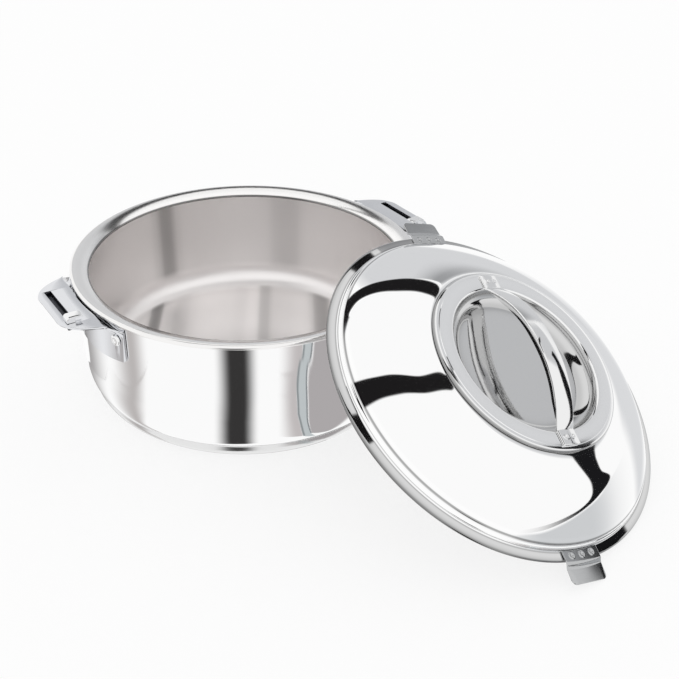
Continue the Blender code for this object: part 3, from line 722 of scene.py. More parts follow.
class CopyTree(ShapeTree):
    """Sets one small piece at each point, its +Z facing outwards."""

    def __init__(self) -> None:
        """Builds the tree."""
        super().__init__("Copies at points", Piece="Object")

    def fill(self, tree: Any, given: Any) -> Any:
        """Adds the copies, each turned to its point and set on the Z axis at its height."""
        piece = add_node(tree, "GeometryNodeObjectInfo", {"Object": given["Piece"]})
        place = result(tree, "GeometryNodeInputPosition")
        axes = add_node(tree, "ShaderNodeSeparateXYZ", {"Vector": place}).outputs
        level = {"Vector": combine(tree, X=axes["X"], Y=axes["Y"])}
        facing = result(tree, "FunctionNodeAlignRotationToVector", level, axis="Z")
        stored = add_node(tree, "GeometryNodeCaptureAttribute", {"Geometry": given["Points"]})
        stored.capture_items.new("ROTATION", "facing")
        tree.links.new(facing, stored.inputs["facing"])
        moved = {"Geometry": stored.outputs["Geometry"], "Position": combine(tree, Z=axes["Z"])}
        set_out = {
            "Points": result(tree, "GeometryNodeSetPosition", moved),
            "Instance": piece.outputs["Geometry"],
            "Rotation": stored.outputs["facing"],
        }
        return result(tree, "GeometryNodeInstanceOnPoints", set_out)

    def set_out(
        self, name: str, places: Sequence[Point3], piece: bpy.types.Object, finish: bpy.types.Material
    ) -> bpy.types.Object:
        """Sets copies of a piece, built along Z from the pot's axis, facing each place.

        Args:
            name: The name of the whole.
            places: A point in each copy's direction, at its height.
            piece: The piece, which is removed.
            finish: Its material.

        Returns:
            All copies as one plain mesh.
        """
        obj = self.run(name, places, Piece=piece, Finish=finish)
        bpy.data.objects.remove(piece)
        shade(obj.data)
        return obj


def dress(obj: bpy.types.Object, material: bpy.types.Material) -> bpy.types.Object:
    """Gives an object one material all over."""
    obj.data.materials.clear()
    obj.data.materials.append(material)
    for face in obj.data.polygons:
        face.material_index = 0
    return obj


def settle(obj: bpy.types.Object, body: str, slot: str, *nodes: str) -> None:
    """Puts a finished piece on the body that it rides on and hides the nodes that it stands for; the slot
    is not used.
    """
    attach(obj, body)
    if nodes:
        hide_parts(*nodes)
    LOG.info("%s: %d faces on %s", obj.name, len(obj.data.polygons), body)


# The pot


@dataclass
class Pot:
    """The pot's turned pieces: rolled rim, bowl, shell and base pan.

    A lip ring is how many mm outside the mouth it lies, and the steel's brightness there: painted
    shade under the rim's nose.
    """

    spin: SpinTree
    rim_radius: float = 0.120
    rim_bead: float = 0.0019
    height: float = 0.0935
    mouth_radius: float = 0.108
    flange_drop: float = 0.0035
    nose_step: float = 0.0005
    nose_depth: float = 0.0014
    wall_radius: float = 0.117
    sheet: float = 0.0007
    floor_height: float = 0.0135
    floor_fillet: float = 0.016
    pan_height: float = 0.013
    pan_corner: float = 0.012
    pan_lap: float = 0.0042
    tuck_depth: float = 0.0042
    tuck_height: float = 0.024
    curl_start: float = -100.0
    lip_painted_shade: tuple[Point2, ...] = (
        (-1.5, 0.5), (-0.3, 0.3), (0.3, 0.6), (0.7, 1.0), (6.0, 0.98), (8.0, 1.0)
    )

    @property
    def bead_radius(self) -> float:
        """Distance of the rim bead's centre from the axis."""
        return self.rim_radius - self.rim_bead

    @property
    def bead_height(self) -> float:
        """Height of the rim bead's centre."""
        return self.height - self.rim_bead

    @property
    def lip_height(self) -> float:
        """Height of the flange's inner lip."""
        return self.height - self.flange_drop

    @property
    def nose_radius(self) -> float:
        """Radius of the rim's nose in the mouth."""
        return self.mouth_radius - self.nose_step

    @property
    def pan_radius(self) -> float:
        """Outer radius of the base pan."""
        return self.wall_radius - self.tuck_depth

    def build(self) -> None:
        """Builds and settles the pot's turned pieces."""
        # Painted shade: the rim's colour darkens round the nose in the mouth, where its shadow falls.
        rings = painted_shade_rows([(self.mouth_radius, *row) for row in self.lip_painted_shade])
        rim = Steel("Buffed rim steel", "f4f3f2", 0.12, wave_depth_mm=0.0, rings=rings)
        bowl = BowlSteel("Polished bowl steel", "fbf8f7", 0.36, wave_depth_mm=0.0)
        wall = Steel("Mirror wall steel", "fafafa", 0.03, wave_depth_mm=0.0, haze=0.01)
        base = Steel("Satin base steel", "e4e4e4", 0.14, wave_depth_mm=0.001)
        pieces = (
            ("rim", self.rim_path(), rim, "rim_steel", "rim_ring"),
            ("bowl", self.bowl_path(), bowl, "bowl_steel", "inner_bowl"),
            ("outer_wall", self.shell_path(), wall, "wall_steel", "outer_shell"),
            ("foot_pan", self.pan_path(), base, "base_steel", "base_pan"),
        )
        self.spin.settle_sheets(pieces, self.sheet, "pot", Matrix.Identity(4))

    def rim_path(self) -> list[Point2]:
        """The outer face of the rolled rim: bead, sloping flange and nose."""
        bead = (self.bead_radius, self.bead_height)
        return arc(bead, self.rim_bead, self.curl_start, 90, BEAD_STEPS) + [
            (self.mouth_radius, self.lip_height),
            (self.nose_radius, self.lip_height - self.nose_step),
            (self.nose_radius, self.lip_height - self.nose_depth),
        ]

    def bowl_path(self) -> list[Point2]:
        """The inner face of the drawn bowl with its filleted floor."""
        radius = self.nose_radius + self.sheet + FIT_GAP
        centre = (radius - self.floor_fillet, self.floor_height + self.floor_fillet)
        fillet = arc(centre, self.floor_fillet, 0, -90, FILLET_STEPS)
        top = (radius, self.lip_height - self.nose_depth + FIT_GAP)
        return [top, *fillet, (0.0, self.floor_height)]

    def shell_path(self) -> list[Point2]:
        """The outer face of the wall, drawn in at the foot."""
        slope = math.atan2(self.flange_drop, self.bead_radius - self.mouth_radius)
        run = self.bead_radius - self.wall_radius + self.sheet
        under = self.height - run * math.tan(slope) - self.sheet / math.cos(slope)
        centre = (self.pan_radius, self.pan_height + FIT_GAP + self.tuck_height)
        tuck = oval(centre, (self.tuck_depth, self.tuck_height), -90, 0, FILLET_STEPS)
        return [*tuck, (self.wall_radius, under - FIT_GAP)]

    def pan_path(self) -> list[Point2]:
        """The outer face of the pan that closes the foot."""
        joggle = self.sheet + FIT_GAP
        lap_radius = self.pan_radius - joggle
        centre = (self.pan_radius - self.pan_corner, self.pan_corner)
        corner = arc(centre, self.pan_corner, -90, 0, FILLET_STEPS)[:-1]
        lap = [(lap_radius, self.pan_height), (lap_radius, self.pan_height + self.pan_lap)]
        return [(0.0, 0.0), *corner, (self.pan_radius, self.pan_height - joggle), *lap]


@dataclass
class Handle:
    """The side handles: a slotted plate joined to a back plate, which is riveted to the wall.

    Outline rows are a share of the half length, a share of the reach and a share of the gap at
    the rim. Flare rows are a share of the half length and of the lean out to the plate.
    """

    pot: Pot
    sheet: float = 0.0012
    reach: float = 0.0225
    half_width: float = 0.0395
    drop: float = 0.0022
    rim_gap: float = 0.0013
    edge: float = 0.0009
    slot_reach: float = 0.01465
    slot_width: float = 0.0045
    slot_half_length: float = 0.0234
    slot_corner: float = 0.0011
    back_half_width: float = 0.0425
    back_top_drop: float = 0.0049
    back_height: float = 0.022
    back_belly: float = 0.004
    back_corner: float = 0.003
    back_flare_height: float = 0.0078
    back_columns: int = 84
    flare_steps: int = 8
    flare_power: float = 1.5
    rivet_place: float = 0.036
    rivet_drop: float = 0.0145
    rivet_hole: float = 0.0023
    eased: float = 0.00014
    outline_rows: tuple[Point3, ...] = (
        (0.00, 1.00, 1.0), (0.24, 1.00, 1.0), (0.46, 1.00, 1.1), (0.58, 0.93, 1.5), (0.69, 0.81, 2.2),
        (0.79, 0.61, 3.1), (0.87, 0.36, 3.6), (0.93, 0.13, 3.8), (0.97, 0.01, 3.5),
    )
    flare_rows: tuple[Point2, ...] = ((0.0, 1.0), (0.875, 1.0), (0.92, 0.72), (0.96, 0.36), (1.0, 0.0))

    @property
    def top(self) -> float:
        """Height of the plate's upper face."""
        return self.pot.height - self.drop

    @property
    def back_radius(self) -> float:
        """Distance of the back plate's inner face from the axis."""
        return self.pot.wall_radius + FIT_GAP

    @property
    def slot_radius(self) -> float:
        """Distance of the slot's middle line from the axis."""
        return self.pot.rim_radius + self.slot_reach

    @property
    def rivet_height(self) -> float:
        """Height of the rivets."""
        return self.pot.height - self.rivet_drop

    @property
    def rivet_angle(self) -> float:
        """Turn from a handle's middle to its rivets."""
        return math.asin(self.rivet_place / (self.back_radius + self.sheet))

    def plate_ring(self, along: float, reach_share: float, gap_share: float) -> list[Point3]:
        """Ring of points of the plate at one place along the handle."""
        inner = math.sqrt((self.pot.rim_radius + self.rim_gap * gap_share) ** 2 - along**2)
        outer = mix(inner, self.pot.rim_radius + self.reach, reach_share)
        outer = max(outer, inner + self.sheet)
        low = self.top - self.sheet
        edge = arc((outer - self.edge, self.top - self.edge), self.edge, 0, 90, BEND_STEPS)
        ring = [(inner, low), (outer, low), *edge, (inner, self.top)]
        return [(x, along, z) for x, z in ring]

    def back_ring(self, along: float) -> list[Point3]:
        """Ring of points of the back plate at one place along the handle."""
        flare = level_at(self.flare_rows, abs(along) / self.back_half_width)
        gaps = [(place, gap) for place, _, gap in self.outline_rows]
        gap = self.rim_gap * level_at(gaps, abs(along) / self.half_width)
        cut = corner_cut(abs(along), self.back_half_width, self.back_corner)
        top = self.top - self.back_top_drop
        low = top - self.back_height - self.back_belly * (1 - (along / self.back_half_width) ** 2) + cut
        bend = top - self.back_flare_height / 2
        face = self.back_radius + self.sheet
        out = mix(self.back_radius, self.pot.rim_radius + gap + self.sheet / 2, flare)
        crest = mix(top, self.top - self.edge / 2, flare)
        shift = self.sheet * flare / 2
        outer, inner = [], []
        for i in range(self.flare_steps + 1):
            t = i / self.flare_steps
            lean = t**self.flare_power
            outer.append((mix(face, out + self.sheet, lean), mix(bend, crest - shift, t)))
            inner.append((mix(self.back_radius, out, lean), mix(bend + shift, crest, t)))
        ring = [(self.back_radius, low), (face, low), *outer, *inner[::-1]]
        return [(math.sqrt(r**2 - along**2), along, z) for r, z in ring]

    def slot_cutter(self) -> bpy.types.Object:
        """The shape punched out of the plate, its corners rounded by the punch."""
        rows = []
        for corner_x, corner_y, start in ((1, 1, 0), (-1, 1, 90), (-1, -1, 180), (1, -1, 270)):
            centre = (
                self.slot_radius + corner_x * (self.slot_width / 2 - self.slot_corner),
                corner_y * (self.slot_half_length - self.slot_corner),
            )
            rows += arc(centre, self.slot_corner, start, start + 90, COLUMN_STEPS)
        heights = (self.top - 2 * self.sheet, self.top + self.sheet)
        return skin("slot_punch", [[(x, y, z) for x, y in rows] for z in heights])

    def rivet_drill(self, side: int) -> bpy.types.Object:
        """The shape drilled through the back plate for one rivet."""
        outline = arc((0.0, 0.0), self.rivet_hole, 0, 360, DRILL_STEPS)[:-1]
        reach = (self.pot.wall_radius - self.sheet, self.back_radius + 2 * self.sheet)
        drill = skin("rivet_drill", [[(r, y, z) for y, z in outline] for r in reach])
        drill.data.transform(Matrix.Rotation(side * self.rivet_angle, 4, "Z"))
        drill.data.transform(Matrix.Translation((0.0, 0.0, self.rivet_height)))
        return drill

    def build(self) -> None:
        """Builds and settles both handles."""
        rows = [(self.half_width * place, reach, gap) for place, reach, gap in self.outline_rows]
        half = smooth_between(rows, COLUMN_STEPS)
        columns = [(-place, reach, gap) for place, reach, gap in half[:0:-1]] + half
        steel = Steel("Polished handle steel", "e0e1e4", 0.07, Lay.ALONG, wave_depth_mm=0.004, haze=0.03)
        material = steel.material()
        places = even_places(self.back_half_width, self.back_columns)
        for side, turn in SIDES:
            handle = skin("handle_plate_" + side, [self.plate_ring(*column) for column in columns])
            back = skin("handle_back", [self.back_ring(place) for place in places])
            cutters = (self.slot_cutter(), self.rivet_drill(1), self.rivet_drill(-1))
            join_bodies(handle, (back, "UNION"), *((cutter, "DIFFERENCE") for cutter in cutters))
            soften(handle, self.eased)
            handle.data.transform(Matrix.Rotation(turn, 4, "Z"))
            settle(dress(handle, material), "pot", "handle_steel", "handle_" + side)


@dataclass
class Rivets:
    """The four handle rivets, each with a dimpled head and its tail closed inside the wall.

    Head rows are a share of the head's radius and a share of its height.
    """

    handle: Handle
    spin: SpinTree
    copies: CopyTree
    head: float = 0.004
    head_height: float = 0.0016
    shank: float = 0.002
    dimple: float = 0.0011
    dimple_depth: float = 0.00055
    dimple_edge_share: float = 1 / 3
    tail: float = 0.0032
    tail_height: float = 0.0008
    tail_chamfer: float = 0.0005
    steps: int = 64
    head_steps: int = 3
    head_rows: tuple[Point2, ...] = (
        (1.0, 0.0), (1.0, 0.16), (0.94, 0.5), (0.82, 0.76), (0.64, 0.94), (0.42, 1.0)
    )

    def outline(self) -> list[Point2]:
        """Half of a rivet's section, built along Z, from its tail to its head."""
        pot = self.handle.pot
        inside = (pot.wall_radius - pot.sheet) * math.cos(math.pi / TURN_STEPS) - FIT_GAP
        end = inside - self.tail_height
        face = self.handle.back_radius + self.handle.sheet + FIT_GAP
        crest = face + self.head_height
        tail = [(0.0, end), (self.tail - self.tail_chamfer, end), (self.tail, end + self.tail_height / 2)]
        shank = [(self.tail, inside), (self.shank, inside), (self.shank, face)]
        head = []
        for out, rise in smooth_between(self.head_rows, self.head_steps):
            head.append((self.head * out, face + self.head_height * min(rise, 1.0)))
        floor = crest - self.dimple_depth
        edge = (self.dimple, crest - self.dimple_depth * self.dimple_edge_share)
        return [*tail, *shank, *head, edge, (self.dimple / 2, floor), (0.0, floor)]

    def build(self) -> None:
        """Builds one rivet along Z and sets it out at all four places."""
        material = Steel("Rivet steel", "f2f2f2", 0.05, wave_depth_mm=0.0).material()
        rivet = self.spin.turn("rivet", self.outline(), material, self.steps)
        names, places = [], []
        for side, turn in SIDES:
            for end, way in (("far", 1), ("near", -1)):
                angle = turn + way * self.handle.rivet_angle
                places.append((math.cos(angle), math.sin(angle), self.handle.rivet_height))
                names.append(f"rivet_{side}_{end}")
        rivets = self.copies.set_out("rivets", places, rivet, material)
        settle(rivets, "pot", "rivet_steel", *names)


@dataclass
class Latch:
    """The sliding latches: pad and inward arm above the plate, neck in the slot, foot below.

    Top rows are a share of the arm's reach and a share of the rise.
    """

    handle: Handle
    width: float = 0.0068
    rest: float = 0.0196
    arm_reach: float = 0.00695
    pad_reach: float = 0.0036
    rise: float = 0.004
    arm_sheet: float = 0.001
    side_gap: float = 0.0004
    foot_spread: float = 0.0009
    foot_height: float = 0.001
    eased: float = 0.0003
    eased_steps: int = 3
    top_rows: tuple[Point2, ...] = ((0.0, 1.0), (-0.3, 1.0), (-0.55, 0.99), (-0.86, 0.95), (-1.0, 0.86))
    top_steps: int = 4
    tip_share: float = 0.94
    heel_share: float = 0.75

    def outline(self) -> list[Point2]:
        """A latch's section across the slot."""
        neck = self.handle.slot_width / 2 - self.side_gap
        foot = neck + self.foot_spread
        below = -self.handle.sheet - FIT_GAP
        end = below - self.foot_height
        under = self.rise - self.arm_sheet
        radius = self.rise / 2
        outline = [(-foot, end), (foot, end), (foot, below), (neck, below), (neck, FIT_GAP)]
        outline.append((self.pad_reach, FIT_GAP))
        outline += arc((self.pad_reach - radius, radius), radius, 0, 90, BEND_STEPS)
        for out, up in smooth_between(self.top_rows, self.top_steps):
            outline.append((self.arm_reach * out, self.rise * up))
        outline += [(-self.arm_reach, under * self.tip_share), (-self.arm_reach * self.heel_share, under)]
        return outline + [(-neck, under), (-neck, below), (-foot, below)]

    def build(self) -> None:
        """Builds and settles both latches at their rest places."""
        steel = Steel("Polished latch steel", "f4f4f4", 0.06, Lay.ACROSS, wave_depth_mm=0.0)
        material = steel.material()
        sides = (-self.width / 2, self.width / 2)
        for side, turn in SIDES:
            latch = skin("latch_" + side, [[(x, y, z) for x, z in self.outline()] for y in sides])
            soften(latch, self.eased, self.eased_steps)
            latch.data.transform(Matrix.Rotation(turn, 4, "Z"))
            place = (math.cos(turn) * self.handle.slot_radius, -self.rest, self.handle.top)
            latch.data.transform(Matrix.Translation(place))
            settle(dress(latch, material), "latch_" + side, "latch_steel", "latch_slider_" + side)


# The lid


@dataclass
class Lid:
    """The loose lid's turned pieces: hem and dome, crown and liner, built flat and then leaned.

    Bead rows are a share of the way from the hem to the dome's foot and a share of the rise.
    """

    spin: SpinTree
    pot: Pot
    radius: float = 0.116
    sheet: float = 0.0007
    hem_roll: float = 0.00145
    hem_width: float = 0.0038
    hem_rise: float = 0.0010
    hem_flange_rise: float = 0.0003
    hem_inner_radius: float = 0.1106
    foot_radius: float = 0.1079
    foot_height: float = 0.0054
    top_height: float = 0.0287
    fullness: float = 1.7
    hole_radius: float = 0.054
    crown_radius: float = 0.0633
    crown_height: float = 0.0025
    crown_edge: float = 0.0017
    crown_land_outer: float = 0.0597
    crown_step: float = 0.0003
    dish_radius: float = 0.050
    dish_round: float = 0.0015
    dish_round_end: float = 153.0
    dish_depth: float = 0.009
    dish_floor_radius: float = 0.040
    liner_depth: float = 0.0095
    liner_radius: float = 0.1045
    liner_corner: float = 0.003
    liner_flange_drop: float = 0.00085
    liner_flange_radius: float = 0.1139
    reach_share: float = 0.7935
    azimuth: float = math.radians(-67.8)
    turn: float = math.radians(150.4)
    sidestep: float = 0.0021
    bead_rows: tuple[Point2, ...] = (
        (0.0, 0.0), (0.19, 0.14), (0.26, 0.39), (0.48, 0.63), (0.74, 0.73), (0.93, 0.87), (1.0, 1.0)
    )

    @property
    def crown_top(self) -> float:
        """Height of the crown's flat ring."""
        return self.top_height + self.crown_height

    @property
    def tilt(self) -> float:
        """The lid's lean, from how far up its underside the pot's rim touches it."""
        return math.asin(self.pot.height / (2 * self.radius * self.reach_share))

    def place(self, tabs: "Tabs") -> Matrix:
        """The lid's pose: on the ground at its low edge, its liner lying on the pot's rim.

        Args:
            tabs: The tabs, the lower of which may reach the ground first.

        Returns:
            The matrix that leans the lid.
        """
        sin, cos = math.sin(self.tilt), math.cos(self.tilt)
        hem_centre = self.hem_rise - self.hem_roll
        hem_reach = sin * (self.radius - self.hem_roll) - cos * hem_centre + self.hem_roll
        low_turn = self.turn - math.pi
        corner_x = tabs.lip_radius - tabs.corner
        corner_y = tabs.half_width - tabs.corner
        downhill = abs(corner_x * math.cos(low_turn)) + abs(corner_y * math.sin(low_turn)) + tabs.corner
        lip_reach = sin * downhill - cos * (tabs.seat - tabs.drop)
        height = max(hem_reach, lip_reach) + FIT_GAP
        support = sin * self.pot.bead_radius + cos * (self.pot.bead_height - height) + self.pot.rim_bead
        away = (support + self.liner_depth + FIT_GAP) / sin
        heading = Matrix.Rotation(self.azimuth, 4, "Z")
        spot = heading @ Vector((away, self.sidestep, 0.0))
        spot.z = height
        leaned = heading @ Matrix.Rotation(self.tilt, 4, "Y")
        return Matrix.Translation(spot) @ leaned @ Matrix.Rotation(self.turn, 4, "Z")

    def steel(self, lean: Matrix, name: str, colour: str, roughness: float, **more: Any) -> Steel:
        """A steel whose marks and rings run round the lid's own axis."""
        own = {"centre": tuple(lean.translation), "turn": tuple(lean.to_euler())}
        return Steel(name, colour, roughness, **own, **more)

    def dome_painted_shade(self) -> tuple[Point2, ...]:
        """Painted shade in the dome's steel: darker at the bead's foot, the flange and the hem's edge."""
        foot, hem, edge = self.foot_radius, self.hem_inner_radius, self.radius
        return painted_shade_rows((
            (foot, -3.0, 1.0), (foot, -0.9, 1.0), (foot, -0.2, 0.4), (foot, 0.5, 1.0), (hem, -0.3, 1.0),
            (hem, 0.3, 0.45), (hem, 1.0, 0.68), (edge, -1.4, 0.6), (edge, -0.4, 0.36), (edge, 0.0, 0.2),
        ))

    def crown_painted_shade(self) -> tuple[Point2, ...]:
        """Painted shade in the crown's steel: darker in the dish, at the bend round it and at the edge.
        """
        floor, dish, edge = self.dish_floor_radius, self.dish_radius, self.crown_radius
        return painted_shade_rows((
            (floor, -6.0, 0.8), (floor, -1.0, 0.76), (floor, 3.0, 0.6), (dish, -2.0, 0.74),
            (dish, -0.5, 0.5), (dish, 0.6, 1.0), (edge, -1.6, 1.0), (edge, -0.6, 0.55), (edge, 0.0, 0.35),
        ))

    def dome_path(self) -> list[Point2]:
        """The outer face from the hem's tucked end to the hole under the crown."""
        centre = (self.radius - self.hem_roll, self.hem_rise - self.hem_roll)
        flange = self.hem_rise + self.hem_flange_rise
        path = [(self.radius - self.hem_width, centre[1] - self.hem_roll)]
        path += arc(centre, self.hem_roll, -90, 90, BEAD_STEPS)
        for run, rise in smooth_between(self.bead_rows, COLUMN_STEPS)[:-1]:
            radius = mix(self.hem_inner_radius, self.foot_radius, run)
            path.append((radius, mix(flange, self.foot_height, rise)))
        for i in range(DOME_STEPS + 1):
            share = i / DOME_STEPS
            rise = 1 - (1 - share) ** self.fullness
            radius = mix(self.foot_radius, self.crown_radius, share)
            path.append((radius, mix(self.foot_height, self.top_height, rise)))
        path.append((self.hole_radius, self.top_height))
        return path

    def crown_path(self) -> list[Point2]:
        """The crown's outer face from its edge over the ring and down into the dish."""
        shoulder = self.crown_top - self.crown_step
        centre = (self.crown_radius - self.crown_edge, shoulder - self.crown_edge)
        path = [(self.crown_radius, self.top_height + FIT_GAP)]
        path += arc(centre, self.crown_edge, 0, 90, BEND_STEPS)
        path.append((self.crown_land_outer + self.crown_step, shoulder))
        path.append((self.crown_land_outer, self.crown_top))
        centre = (self.dish_radius + self.dish_round, self.crown_top - self.dish_round)
        path += arc(centre, self.dish_round, 90, self.dish_round_end, BEND_STEPS)
        top = path[-1]
        floor = self.crown_top - self.dish_depth
        radii = (top[0] - self.dish_floor_radius, top[1] - floor)
        path += oval((self.dish_floor_radius, top[1]), radii, 0, -90, FILLET_STEPS)[1:]
        path.append((0.0, floor))
        return path

    def liner_path(self) -> list[Point2]:
        """The liner's lower face from its middle to its flange."""
        bend = self.liner_corner / 2
        flange = -self.liner_flange_drop
        centre = (self.liner_radius - self.liner_corner, self.liner_corner - self.liner_depth)
        path = [(0.0, -self.liner_depth), *arc(centre, self.liner_corner, -90, 0, BEND_STEPS)]
        path += arc((self.liner_radius + bend, flange - bend), bend, 180, 90, BEND_STEPS)
        path.append((self.liner_flange_radius, flange))
        return path

    def build(self, lean: Matrix) -> None:
        """Builds and settles the lid's turned pieces."""
        polish = {"wave_depth_mm": 0.003, "haze": 0.01, "rings": self.dome_painted_shade()}
        dome = self.steel(lean, "Mirror dome steel", "fafafa", 0.02, **polish)
        polish = {"wave_depth_mm": 0.006, "rings": self.crown_painted_shade()}
        crown = self.steel(lean, "Mirror crown steel", "f4f4f4", 0.04, **polish)
        liner = self.steel(lean, "Satin liner steel", "cbcaca", 0.2, wave_depth_mm=0.002)
        pieces = (
            ("dome", self.dome_path(), dome, "dome_steel", "lid_dome"),
            ("crown", self.crown_path(), crown, "crown_steel", "lid_crown"),
            ("liner", self.liner_path(), liner, "liner_steel", "lid_liner"),
        )
        self.spin.settle_sheets(pieces, self.sheet, "lid", lean)


@dataclass(frozen=True)
class Weld:
    """A spot weld's mark on a sheet: sunk in its middle, proud round its edge."""

    radius: float
    depth: float
    proud_share: float = 0.45
    proud_place: float = 1.15
    proud_width: float = 0.25

    def rise(self, distance: float) -> float:
        """How far the sheet's face rises at a distance from the weld's middle."""
        share = distance / self.radius
        away = (share - self.proud_place) / self.proud_width
        sunk = (1 - share * share) ** 2 if share < 1 else 0.0
        return self.depth * (self.proud_share * math.exp(-(away**2)) - sunk)


@dataclass
class Strap:
    """The lid's grip: a strap bent into an arch with its long edges folded down."""

    lid: Lid
    width: float = 0.013
    sheet: float = 0.0012
    fold: float = 0.0036
    fold_draft: float = 0.00024
    fold_end_share: float = 0.33
    rise: float = 0.0165
    fullness: float = 2.3
    foot: float = 0.0095
    crowned: float = 0.00035
    edge: float = 0.0006
    edge_steps: int = 5
    arch_steps: int = 60
    foot_steps: int = 26
    face_steps: int = 26
    weld: Weld = Weld(0.0011, 0.00028)
    weld_spread: float = 0.0027
    eased: float = 0.00012

    def path(self) -> list[Point2]:
        """The top line from the middle of the arch to the end of one foot: (place, height)."""
        span = self.lid.dish_radius
        top = self.lid.crown_top + FIT_GAP + self.sheet
        points = []
        for i in range(self.arch_steps + 1):
            place = math.sin(math.pi / 2 * i / self.arch_steps)
            points.append((span * place, top + self.rise * (1 - place**self.fullness)))
        for i in range(1, self.foot_steps + 1):
            points.append((span + self.foot * i / self.foot_steps, top))
        return points

    def across(self) -> list[Point2]:
        """Places across the upper face, with how far the face falls there."""
        half = self.width / 2
        flat = half - self.edge
        fall = self.crowned * (flat / half) ** 2
        corner = arc((-flat, -self.edge), self.edge, 180, 90, self.edge_steps)
        side = [(y, fall - z) for y, z in corner]
        face = [(y, self.crowned * (y / half) ** 2) for y in even_places(flat, self.face_steps)[1:-1]]
        return side + face + [(-y, depth) for y, depth in side[::-1]]

    def build(self, lean: Matrix) -> None:
        """Builds and settles the strap."""
        path = self.path()
        path = [(-x, z) for x, z in path[:0:-1]] + path
        span = self.lid.dish_radius
        half = self.width / 2
        inner = half - self.sheet
        sections = []
        for (x, z), up in zip(path, mitres(path)):
            fold = (self.fold - self.sheet) * ease((1 - abs(x) / span) / self.fold_end_share)
            low = self.sheet + self.crowned + fold
            line = []
            for y, depth in self.across():
                away = math.hypot(abs(x) - span - self.foot / 2, abs(y) - self.weld_spread)
                line.append((y, depth - self.weld.rise(away)))
            folded = [(half, low), (inner, low), (inner - self.fold_draft, self.sheet)]
            line += folded + [(-y, depth) for y, depth in folded[::-1]]
            sections.append([(x - up.x * depth, y, z - up.y * depth) for y, depth in line])
        strap = skin("strap", sections)
        soften(strap, self.eased)
        strap.data.transform(lean)
        steel = self.lid.steel(lean, "Polished strap steel", "eeeeee", 0.035, wave_depth_mm=0.003)
        settle(dress(strap, steel.material()), "lid", "strap_steel", "lid_strap")


@dataclass
class Tabs:
    """The two stepped tabs on the lid's hem, each with its three spot welds."""

    half_width: float = 0.0134
    sheet: float = 0.0008
    inner_radius: float = 0.1104
    plate_radius: float = 0.1168
    step_radius: float = 0.1209
    lip_radius: float = 0.1291
    corner: float = 0.0035
    step_drop: float = 0.0018
    drop: float = 0.0023
    seat: float = 0.0016
    columns: int = 110
    rows: int = 26
    weld: Weld = Weld(0.00135, 0.00042)
    weld_spread: float = 0.0078
    weld_reach: float = 0.1133
    eased: float = 0.00012

    def ring(self, across: float) -> list[Point3]:
        """Ring of points of a tab at one distance across it."""
        cut = corner_cut(abs(across), self.half_width, self.corner)
        radii = (self.inner_radius, self.plate_radius, self.step_radius)
        ends = [math.sqrt(r**2 - across**2) for r in radii] + [self.lip_radius - cut]
        under = []
        for i in range(3 * self.rows + 1):
            part = min(i // self.rows, 2)
            share = i / self.rows - part
            falls = (0.0, self.step_drop * ease(share), mix(self.step_drop, self.drop, share))
            under.append((mix(ends[part], ends[part + 1], share), self.seat - falls[part]))
        over = []
        for x, z in under[::-1]:
            reach = x - math.sqrt(self.weld_reach**2 - across**2)
            places = (-self.weld_spread, 0.0, self.weld_spread)
            dent = sum(self.weld.rise(math.hypot(reach, across - place)) for place in places)
            over.append((x, z + self.sheet + dent))
        return [(x, across, z) for x, z in under + over]

    def build(self, lid: Lid, lean: Matrix) -> None:
        """Builds and settles both tabs."""
        places = even_places(self.half_width, self.columns)
        # Painted shade: the tab steel is a mid-grey, darker than the lid's other steel, for the grey the
        # tabs show.
        material = lid.steel(lean, "Polished tab steel", "bcbdbe", 0.06, wave_depth_mm=0.004).material()
        for name, turn in (("upper", 0.0), ("lower", math.pi)):
            tab = skin("tab_" + name, [self.ring(place) for place in places])
            soften(tab, self.eased)
            tab.data.transform(lean @ Matrix.Rotation(turn, 4, "Z"))
            settle(dress(tab, material), "lid", "tab_steel", "lid_tab_" + name)


# The studio


@dataclass(frozen=True)
class StudioCard:
    """A card or flag at the studio's edge, or a painted reflection of the lid, that only polished metal
    shows.

    Each row is a line across the card from one side to the other: the direction round the
    studio and the elevation of its first end, then of its second, all in degrees. A direction
    counts from the right of the photograph's camera, and 90 is straight ahead of it. The soft
    sides and ends are shares of the card over which it fades in.
    """

    name: str
    shade: str
    rows: tuple[Point4, ...]
    soft_sides: Point2 = (0.04, 0.04)
    soft_ends: Point2 = (0.02, 0.02)


